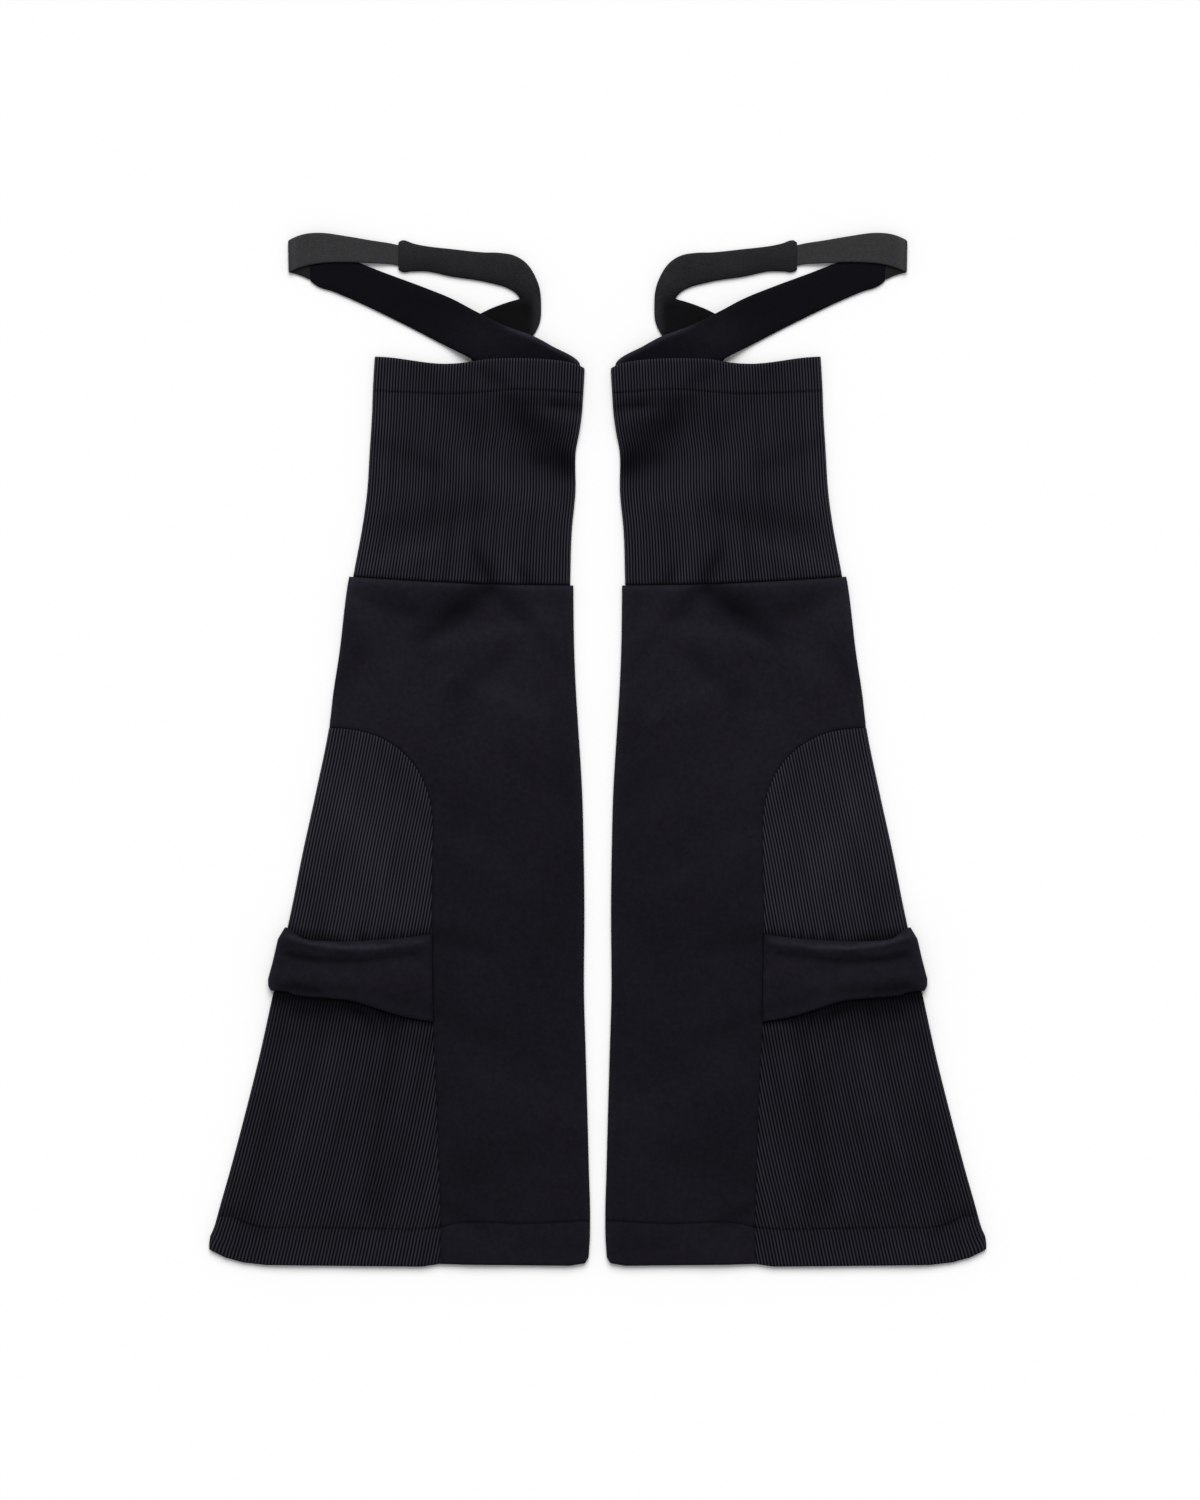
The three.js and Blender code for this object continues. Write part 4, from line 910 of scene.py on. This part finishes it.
    # Painted light and shade on the panel: drawn lighter at the yoke and darker down the leg, with highlights along the
    # folds and below the top edge, shade in the hem's stitch groove and in the folds
    lower = lerp(1.04, 0.74, smoothStep(-outer[..., 1], -60, 100)) * foldPaintedLight(outer, bodyInner, bodyOuter)
    lower = lower * hemPaintedShade(outer, hemLineAt, -1, own["hemLight"], 0.8)
    fromTop = yokeTopAt(outer[..., 0]) - outer[..., 1]
    lower = lower * (1 + own["rimLight"] * np.exp(-(((fromTop - 1.5) / 2.2) ** 2)))
    shade = paintedFoldShade(mainFolds, outer, own["shading"], lower)
    return makeShell(
        name, side, outer, round_(True), smoothKnit, across, -outer[..., 1], weldTo=weldTo, bulge=(0.0, 0.3), shade=shade,
    )


godet = {
    "ribs": 70, "perRib": 4, "turnRibs": 2, "wall": 1.8, "ribDepth": 0.6, "fullness": 0.7, "radius": 2.4,
    "hem": -361.5, "narrow": 0.93, "seamRadius": 2.6, "rows": 40, "backRib": 0.55, "hemSize": 0.35,
    "foldDepth": 1.3, "shading": 0.26, "upper": 1.12, "lower": 0.79, "hemLight": 0.05, "hemLean": 0.086,
}


def godetOut(count, along):
    own = godet
    below = np.minimum(along, -347.0)
    pitch = (bodyOuter(below) - legSeamAt(below) - own["radius"]) / (own["ribs"] - own["turnRibs"])
    pitch = pitch * lerp(own["narrow"], 1, smoothStep(-along, 60, 350))
    turned = np.clip(count / own["turnRibs"], 0, 1) * math.pi / 2
    return bodyOuter(along) - own["radius"] * (1 - np.cos(turned)) - np.maximum(0, count - own["turnRibs"]) * pitch


# Distance from the arch seam into the godet, below 0 on the panel's side
def insideArch(out, along):
    flat = np.clip((arch["corner"] - out) / arch["width"], 0, None)
    rise = np.clip((along - arch["spring"]) / arch["height"], 0, None)
    power = arch["power"]
    value = (flat**power + rise**power + 1e-9) ** (1 / power)
    slope = np.hypot((flat / value) ** (power - 1) / arch["width"], (rise / value) ** (power - 1) / arch["height"])
    curved = (1 - value) / np.maximum(slope, 1e-4)
    return np.where(along < arch["spring"], out - legSeamAt(along), curved)


def makeGodet(side, name):
    own = godet
    counts = np.append(np.arange(own["ribs"] * own["perRib"]) / own["perRib"], own["ribs"] - 0.03)
    high, low_ = np.full(len(counts), arch["spring"] + arch["height"] - 0.02), np.full(len(counts), own["hem"])
    for _ in range(40):
        middle = (high + low_) / 2
        isIn = insideArch(godetOut(counts, middle), middle) > 0.01
        low_, high = np.where(isIn, middle, low_), np.where(isIn, high, middle)
    seamStart = low_
    line = np.minimum(-325.0, lerp(seamStart, own["hem"], 0.85))
    upper = np.concatenate([[0, 0.0016, 0.004, 0.008, 0.014, 0.022], np.linspace(0.034, 1, own["rows"])])[:, None]
    lower = np.concatenate([placesBetween(0.9, 0.9, 11.7), placesBetween(3.8, 15, 31), [33, 34.4, 35.4, 36.1, 36.5]]) / 36.5
    station = np.concatenate([lerp(seamStart, line, upper), lerp(line, own["hem"], lower[:, None])], 0)
    out = godetOut(counts[None], station)
    out[:, -1] = np.minimum(out[:, -1], legSeamAt(station[:, -1]) + 0.02)
    along = station + (hemAt(out) - own["hem"]) * smoothStep(-station, 329.3, 361.5)
    turned = np.clip(counts / own["turnRibs"], 0, 1) * math.pi / 2
    full = np.sin(turned)[None]
    fromSeam = np.maximum(0, insideArch(out, station))
    toHem = np.maximum(0, along - hemAt(out))
    seamRound, hemRound = roundOver(fromSeam, own["seamRadius"]), roundOver(toHem, 2.0)
    lift = bandLiftAt(along)
    relief = reliefOf(godetFolds, out, along) * own["foldDepth"] + unevenAt(out + 40, along) * 0.8
    relief += puckerAt(along + out, fromSeam, 0.24, 6.0)
    relief += hemShape(along, hemLineAt(out), -1, own["hemSize"])
    underBand = smoothStep(along, -120, -134) * smoothStep(along, -186, -172)
    relief = relief * (1 - underBand)
    low = layers["floor"] + lift + puffAt(out, 60, bodyOuter(along))
    low = low + np.maximum(relief * 0.8, layers["floor"] - low - 0.2)
    fold = layers["foldMiddle"] + lift

    def sheet(front, inside):
        sideways = layers["sideWall"] * np.cos(turned)[None] if inside else 0
        if front:
            top = low + own["wall"] * lerp(0.3, 1, seamRound) * lerp(0.5, 1, hemRound) + relief * 0.2 * seamRound
            z = lerp(fold, low + 0.3 * (1 - hemRound) if inside else top, full)
        else:
            base = lift + layers["rise"] * (1 - seamRound)
            z = lerp(fold, lift + layers["backWall"] if inside else base, full)
        return plan(out - sideways, along, z)

    def round_(inside):
        return np.concatenate([sheet(True, inside)[:, ::-1], sheet(False, inside)[:, 1:]], 1)

    def both(values):
        return np.concatenate([values[..., ::-1], values[..., 1:]], -1)

    leaning = own["hemLean"] * np.maximum(0, -347.0 - both(station))
    wale = np.concatenate([-counts[::-1], counts[1:]])
    wale = wale + np.where(wale <= 0, -leaning, leaning)
    room = both(lerp(0.3, 1, seamRound) * lerp(0.4, 1, hemRound))
    room *= 1 - 0.45 * np.exp(-(both((along - hemLineAt(out)) / 1.2) ** 2))
    room *= np.where(np.arange(room.shape[1]) < len(counts), 1.0, own["backRib"])
    outer = round_(False)
    # Painted light and shade on the godet: drawn lighter high up and darker down the leg, with shade in its folds,
    # highlights on its ridges and along its fold, and shade in the hem's stitch groove
    shade = paintedFoldShade(godetFolds, outer, own["shading"], lerp(own["upper"], own["lower"], smoothStep(-outer[..., 1], 60, 230)))
    # painted shadow of the band, deep below it and a thin line above
    below, above = bandBottomAt(outer[..., 0]) - outer[..., 1], outer[..., 1] - bandTopAt(outer[..., 0])
    wide = 1.5 + 5.5 * smoothStep(outer[..., 0], 122, 180)
    shade = shade * (1 - 0.88 * (1 - smoothStep(below, wide, 1.5 + 2.2 * wide)) * (below > -8))
    shade = shade * (1 - 0.85 * np.exp(-((np.maximum(0, above) / 2.8) ** 2)) * (above > -8))
    shade = shade * hemPaintedShade(outer, hemLineAt, -1, own["hemLight"], 0.6) * foldPaintedLight(outer, lambda along: 0, bodyOuter)
    piece = makeShell(
        name, side, outer, round_(True), ribKnit, wale * 2.0, -both(station), bulge=(0.0, 0.3),
        shade=shade, wale=wale, ribRoom=room,
    )
    return bakeTree(piece, ribTree, {"Depth": own["ribDepth"] * mm, "Fullness": own["fullness"], "Material": ribKnit})


band = {
    "wall": 1.4, "columns": 84, "turn": 9, "radius": 5.0, "middle": 3.5, "edgeRadius": 3.2, "rows": 40, "foldDepth": 1.0,
    "shading": 0.6, "base": 0.80, "foldLight": 0.45,
}


def makeBand(side, name):
    own = band
    even = np.linspace(0, 1, own["rows"])
    edges = np.array([0.004, 0.012, 0.022])
    shares = np.sort(np.concatenate([even, edges, 1 - edges]))[:, None]
    length = 60
    fold = bodyOuter(lerp(bandEdges["top"][-1], bandEdges["bottom"][-1], shares))
    start = legSeamAt(lerp(bandEdges["top"][0], bandEdges["bottom"][0], shares)) + 0.05
    end = fold + bandReachAt(shares)
    angle = np.linspace(0, math.pi / 2, own["turn"] + 1)[1:]
    straight = np.linspace(0, 1, own["columns"] + 1)

    def sheet(front, inside):
        wall = 1.2 if inside else 0
        radius = own["radius"] - wall
        flat = lerp(start, end - own["radius"], straight)
        out = np.concatenate([flat, end - own["radius"] + radius * np.sin(angle)], 1)
        along = lerp(bandTopAt(out), bandBottomAt(out), shares)
        if inside:
            along = lerp(along, lerp(bandTopAt(out), bandBottomAt(out), 0.5), 0.015)
        across = np.concatenate([np.ones_like(straight), np.cos(angle)])[None]
        over = layers["floor"] + bandLiftAt(along) + puffAt(out, 60, bodyOuter(along)) + 1.8 + 0.15
        rim = roundOver(np.minimum(shares, 1 - shares) * length, own["edgeRadius"])
        relief = reliefOf(bandFolds, out, along) * own["foldDepth"] + 0.35 * unevenAt(out * 1.7, along * 1.7)
        seam = roundOver(out - start, 2.2)
        fuller = 0.9 * smoothStep(shares, 0.55, 0.9) * smoothStep(out, 130, 195) + 0.3
        belly = 0.5 * np.sin(math.pi * shares)
        if front:
            swell = np.maximum(relief + fuller + belly, -0.15)
            if inside:
                top = over + 0.1 + swell * 0.8 * rim
            else:
                top = over + own["wall"] * lerp(0.45, 1, rim) * lerp(0.35, 1, seam) + swell * rim * seam
            return plan(out, along, own["middle"] + (top - own["middle"]) * across)
        bottom = 1.3 if inside else 0.35 * (1 - rim)
        return plan(out, along, own["middle"] + (bottom - own["middle"]) * across)

    def round_(inside):
        return np.concatenate([sheet(True, inside), sheet(False, inside)[:, -2::-1]], 1)

    outer = round_(False)
    across = np.concatenate([np.zeros((len(outer), 1)), np.cumsum(np.linalg.norm(np.diff(outer, axis=1), axis=2), 1)], 1)
    # Painted highlight at the band's end fold, and painted shade and highlights from its folds
    base = own["base"] * (1 + own["foldLight"] * np.exp(-(((end - outer[..., 0]) / 4.5) ** 2)))
    shade = paintedFoldShade(bandFolds, outer, own["shading"], base)
    return makeShell(name, side, outer, round_(True), smoothKnit, -outer[..., 1], across, bulge=(0.25, 0.25), shade=shade)


# Straps

strapNames = "out along z toOut toAlong toZ"
lowerStrap = table(
    strapNames,
    (201.4, 350.2, 1.25, 200.8, 328.2, 1.25), (198.6, 350.9, 1.25, 197.2, 325.2, 1.25),
    (183.5, 346.8, 1.25, 185.0, 320.8, 1.25), (165.3, 340.4, 1.25, 168.0, 313.6, 1.25),
    (151.0, 334.8, 1.5, 154.0, 307.0, 1.25), (122.3, 324.1, 2.4, 127.0, 293.6, 1.25),
    (101.0, 315.3, 4.0, 106.0, 282.6, 2.1), (84.5, 306.4, 6.2, 93.5, 276.2, 5.4),
    (65.3, 297.0, 5.4, 82.6, 270.4, 6.1), (44.6, 289.4, 5.5, 69.6, 265.0, 6.1),
    (32.4, 282.9, 5.0, 58.0, 261.2, 5.9), (12.6, 270.8, 3.1, 44.0, 258.6, 4.4),
    (13.2, 264.6, 3.1, 34.0, 257.4, 3.6),
)
upperStrap = table(
    strapNames,
    (139.2, 355.6, 1.25, 139.2, 335.9, 1.25), (136.6, 357.0, 1.25, 136.6, 334.5, 1.25),
    (129.0, 354.6, 1.25, 130.4, 334.9, 1.25), (119.5, 352.7, 1.25, 119.5, 334.9, 1.25),
    (101.0, 350.6, 1.25, 102.0, 331.3, 1.25), (80.0, 348.4, 1.4, 83.0, 328.5, 1.25),
    (68.4, 348.0, 1.8, 73.3, 326.4, 1.25), (57.9, 346.0, 2.2, 66.0, 324.4, 1.25),
    (49.5, 340.4, 2.4, 60.6, 322.0, 1.25), (43.9, 332.0, 2.5, 57.2, 319.6, 1.25),
    (40.4, 322.2, 2.4, 55.3, 317.4, 1.25), (39.6, 310.3, 2.0, 55.0, 315.8, 1.25),
    (40.2, 300.4, 1.3, 60.2, 314.3, 1.25), (44.6, 291.0, 1.25, 68.4, 311.6, 1.25),
    (52.6, 283.6, 1.25, 80.0, 306.6, 1.25), (58.0, 279.6, 1.7, 90.4, 299.8, 1.25),
    (60.0, 275.2, 3.05, 91.0, 282.6, 3.05), (60.4, 262.6, 3.05, 84.6, 264.4, 3.05),
)
elasticRun = table(
    strapNames,
    (132.0, 352.4, 1.25, 132.0, 338.2, 1.25), (140.0, 353.6, 1.3, 140.0, 339.2, 1.3),
    (144.5, 354.6, 1.6, 144.5, 339.9, 1.6), (158.0, 356.6, 2.9, 157.0, 340.5, 3.1),
    (175.5, 359.5, 3.5, 174.5, 341.3, 3.5), (193.8, 361.9, 3.5, 193.8, 340.6, 3.5),
    (205.5, 361.0, 3.5, 205.5, 338.4, 3.5), (213.8, 358.0, 3.3, 213.4, 335.4, 3.3),
    (216.3, 356.6, 2.4, 215.9, 334.2, 2.4), (213.8, 357.0, 1.5, 213.6, 333.8, 1.5),
    (207.5, 354.8, 1.25, 207.0, 331.8, 1.25), (201.8, 351.0, 1.25, 201.3, 329.4, 1.25),
    (194.0, 347.4, 1.25, 193.4, 328.6, 1.25),
)


# A table's sections as two smooth edges, in even steps along the strap
def smoothRun(rows, step):
    one = np.stack([rows["out"], rows["along"], rows["z"]], 1)
    other = np.stack([rows["toOut"], rows["toAlong"], rows["toZ"]], 1)
    length = np.concatenate([[0], np.cumsum(np.linalg.norm(np.diff((one + other) / 2, axis=0), axis=1))])
    at = np.linspace(0, length[-1], round(length[-1] / step) + 1)
    edges = []
    for edge in (one, other):
        columns = [curveOf({"at": length, "value": edge[:, k]}, "at", "value")(at) for k in range(3)]
        edges.append(np.stack(columns, 1))
    return edges[0], edges[1], at


# Rings round a flat strap: over the top from one edge to the other, and back underneath
def strapRings(one, other, half, inset, columns, topRelief, edgePower=8):
    middle = (one + other) / 2
    forward = np.gradient(middle, axis=0)
    forward /= np.linalg.norm(forward, axis=1, keepdims=True)
    across = other - one
    width = np.linalg.norm(across, axis=1, keepdims=True)
    across = across / width
    up = np.cross(across, forward)
    up /= np.linalg.norm(up, axis=1, keepdims=True)
    share = (1 - np.cos(np.linspace(0, math.pi, columns + 1))) / 2
    share = lerp(share, np.linspace(0, 1, columns + 1), 0.45)
    full = (1 - np.abs(2 * share - 1) ** edgePower) ** 0.5
    places = one[:, None] + across[:, None] * (inset + (width - 2 * inset) * share)[..., None]
    facing = np.sign(up[:, 2:] + 1e-9)
    relief = topRelief(places[..., 0], places[..., 1]) * full * (facing > 0)
    over = places + up[:, None] * (full * half + np.maximum(relief, -half * 0.6))[..., None]
    under = places - up[:, None] * (full * half + 0 * relief)[..., None]
    return np.concatenate([over, under[:, -2:0:-1]], 1), np.concatenate([share, 1 + share[1:]]) * width.mean()


strap = {"half": 1.2, "wall": 0.85, "columns": 22, "step": 2.2, "mouth": 0.55, "shading": 0.25}


# Straps' shade: the upper strap is darkened past its turn, painted shade where the turned cloth lies in the shadow of
# its top run; the lower strap is drawn nearly black, with a lighter patch
def lowerShade(out, along):
    return 0.34 + 0.32 * np.exp(-(((out - 80) / 26) ** 2) - ((along - 290) / 14) ** 2)


def upperStrapPaintedShade(out, along):
    return 1 - 0.84 * smoothStep(along, 321, 310) * smoothStep(out, 41.5, 49)


def makeStrap(side, name, rows, material, baseShade, strapEdge):
    one, other, at = smoothRun(rows, strap["step"])
    mouth = strap["mouth"] * np.exp(-((at / 5.0) ** 2))[:, None]
    relief = lambda out, along: reliefOf(strapFolds, out, along) + 0.35 * unevenAt(out * 2.1, along * 2.1) + mouth
    outer, across = strapRings(one, other, strap["half"], 0, strap["columns"], relief)
    half = strap["half"] - strap["wall"]
    inner, _ = strapRings(one, other, half, 0.8, strap["columns"], lambda out, along: relief(out, along) * 0.9)
    share = 1 - np.abs(1 - across[:-1] / across[strap["columns"]])
    # Painted light across the upper strap, lighter at its top edge and darker at its lower edge, and a painted
    # highlight along the lower strap's edge where it comes out from under the upper strap
    paintedEdgeShade = lerp(1, lerp(0.98, 0.55, share ** 1.3), strapEdge)
    rim = 1 + 7.0 * (1 - strapEdge) * np.exp(-((share / 0.07) ** 2)) * smoothStep(outer[..., 0], 74, 48)
    shade = paintedFoldShade(strapFolds, outer, strap["shading"], baseShade(outer[..., 0], outer[..., 1]) * paintedEdgeShade * rim)
    return makeShell(name, side, outer, inner, material, across, at[:, None], closed=True, bulge=(0.3, 0.2), shade=shade)


elasticSizes = {"half": 0.5, "columns": 20, "step": 1.6, "fold": 84.0, "shadeBeyondFold": 0.35}


def makeElasticPiece(side, name):
    one, other, at = smoothRun(elasticRun, elasticSizes["step"])
    rings, across = strapRings(one, other, elasticSizes["half"], 0, elasticSizes["columns"], lambda out, along: 0 * out, 14)
    count, around = rings.shape[:2]
    index = np.arange(count * around).reshape(count, around)
    index = np.concatenate([index, index[:, :1]], 1)
    uv = np.stack(np.broadcast_arrays(across, at[:, None]), -1)
    faces, faceUv = [quadsOf(index, False)], [quadsOf(uv, False)]
    for row, turned in ((0, True), (-1, False)):
        top = index[row, :around // 2 + 1]
        bottom = np.concatenate([index[row, :1], index[row, :around // 2 - 1:-1][1:]])
        for k in range(len(top) - 1):
            face = [top[k], top[k + 1], bottom[k + 1], bottom[k]]
            face = list(dict.fromkeys(int(x) for x in face))
            faces.append(np.array([face if not turned else face[::-1]]))
            faceUv.append(np.stack([uv[row, 0]] * len(face))[None])
    fold, shadeBeyondFold = elasticSizes["fold"], elasticSizes["shadeBeyondFold"]
    # Painted shade on the run beyond the fold, which lies under the top run, and a painted highlight on the fold
    shade = lerp(1, shadeBeyondFold, smoothStep(at, fold, fold + 4)) + 0.25 * np.exp(-(((at - fold + 2) / 2.5) ** 2))
    shade = np.repeat(shade, around)
    return meshFrom(name, side, rings.reshape(-1, 3), faces, faceUv, wovenElastic, {"shade": shade})


# Stitches on the hems' lines

stitching = {"pitch": 2.4, "length": 1.6, "thickness": 0.40, "seed": 5, "above": 0.06}


# The top of a finished piece over a plan place
def topOf(piece, side):
    tree = None
    from mathutils.bvhtree import BVHTree
    vertices = [v.co for v in piece.data.vertices]
    tree = BVHTree.FromPolygons(vertices, [p.vertices for p in piece.data.polygons])

    def at(out, along):
        hit = tree.ray_cast(Vector((side * out * mm, (along + planShift) * mm, 0.05)), Vector((0, 0, -1)))
        return hit[0].z / mm if hit[0] else None

    return at


def makeStitches(side, name, runs):
    points, edges = [], []
    for top, outs, lineAt in runs:
        first = len(points)
        for out in outs:
            along = float(lineAt(out))
            z = top(float(out), along)
            if z is not None:
                points.append((side * out * mm, (along + planShift) * mm, (z + stitching["above"]) * mm))
        edges += [(k, k + 1) for k in range(first, len(points) - 1)]
    mesh = bpy.data.meshes.new(name)
    mesh.from_pydata(points, edges, [])
    piece = bpy.data.objects.new(name, mesh)
    bpy.context.scene.collection.objects.link(piece)
    return bakeTree(piece, stitchTree, {
        "Pitch": stitching["pitch"] * mm, "Length": stitching["length"] * mm, "Thickness": stitching["thickness"] * mm,
        "Seed": stitching["seed"], "Material": sewingThread,
    })


# All pieces, on both sides of the pair

for prefix, side in sides.items():
    made = {
        "cuff": makeCuff(side, prefix + "_cuff"),
        "main": makeMain(side, prefix + "_main"),
        "godet": makeGodet(side, prefix + "_godet"),
        "band": makeBand(side, prefix + "_band"),
        "strapLower": makeStrap(side, prefix + "_strapLower", lowerStrap, lowerStrapKnit, lowerShade, 0),
        "strapUpper": makeStrap(side, prefix + "_strapUpper", upperStrap, strapKnit, upperStrapPaintedShade, 1),
        "elastic": makeElasticPiece(side, prefix + "_elasticTape"),
    }
    cuffTopOf, mainTopOf, godetTopOf = (topOf(made[part], side) for part in ("cuff", "main", "godet"))
    made["stitches"] = makeStitches(side, prefix + "_stitches", [
        (cuffTopOf, np.arange(12.5, 155.5, 1.0), cuffLineAt),
        (mainTopOf, np.arange(8.0, 108.6, 1.0), hemLineAt),
        (godetTopOf, np.arange(112.0, 263.0, 1.0), hemLineAt),
    ])
    for piece in made.values():
        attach(piece, "root")
    for part, nodes, slotName in (
        ("cuff", ("cuff_front", "cuff_back"), "rib_knit"), ("main", ("main_front", "main_back"), "smooth_knit"),
        ("godet", ("godet_front", "godet_back"), "rib_knit"), ("band", ("band_front", "band_back"), "smooth_knit"),
        ("strapLower", ("strap_lower",), "strap_knit"), ("strapUpper", ("strap_upper",), "strap_knit"),
        ("elastic", ("elastic",), "elastic"),
    ):
        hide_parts(*[f"{prefix}_{node}" for node in nodes])
    print(prefix, "leg made", {part: len(piece.data.polygons) for part, piece in made.items()})


# Floor, light and camera

def makeFloor():
    mesh = bpy.data.meshes.new("floor")
    reach = 6.0
    mesh.from_pydata([(-reach, -reach, -0.0003), (reach, -reach, -0.0003), (reach, reach, -0.0003), (-reach, reach, -0.0003)], [], [(0, 1, 2, 3)])
    material, tree, shader = newMaterial("paleFloor")
    shader.inputs["Base Color"].default_value = (0.90, 0.90, 0.90, 1)
    shader.inputs["Roughness"].default_value = 0.9
    shader.inputs["Specular IOR Level"].default_value = 0.1
    mesh.materials.append(material)
    floor = bpy.data.objects.new("floor", mesh)
    bpy.context.scene.collection.objects.link(floor)
    return floor


makeFloor()

light = {"world": 0.45, "sun": 2.78, "spread": 46, "turn": (42, 0, 178)}
world = bpy.data.worlds.new("studio")
world.use_nodes = True
world.node_tree.nodes["Background"].inputs["Color"].default_value = (1, 1, 1, 1)
world.node_tree.nodes["Background"].inputs["Strength"].default_value = light["world"]
bpy.context.scene.world = world
lamp = bpy.data.lights.new("softbox", "SUN")
lamp.energy = light["sun"]
lamp.angle = math.radians(light["spread"])
softbox = bpy.data.objects.new("softbox", lamp)
softbox.rotation_euler = [math.radians(angle) for angle in light["turn"]]
bpy.context.scene.collection.objects.link(softbox)

view = {"distance": 4.0, "height": 1.05, "centre": (0.0016, -0.0002)}
camera = bpy.data.cameras.new("camera")
camera.sensor_width = 36.0
camera.lens = camera.sensor_width * view["distance"] / view["height"]
camera.clip_start, camera.clip_end = 0.1, 50.0
cameraObject = bpy.data.objects.new("camera", camera)
cameraObject.location = (*view["centre"], view["distance"])
bpy.context.scene.collection.objects.link(cameraObject)
bpy.context.scene.camera = cameraObject
bpy.context.scene.view_settings.view_transform = "Standard"
print("stage made")
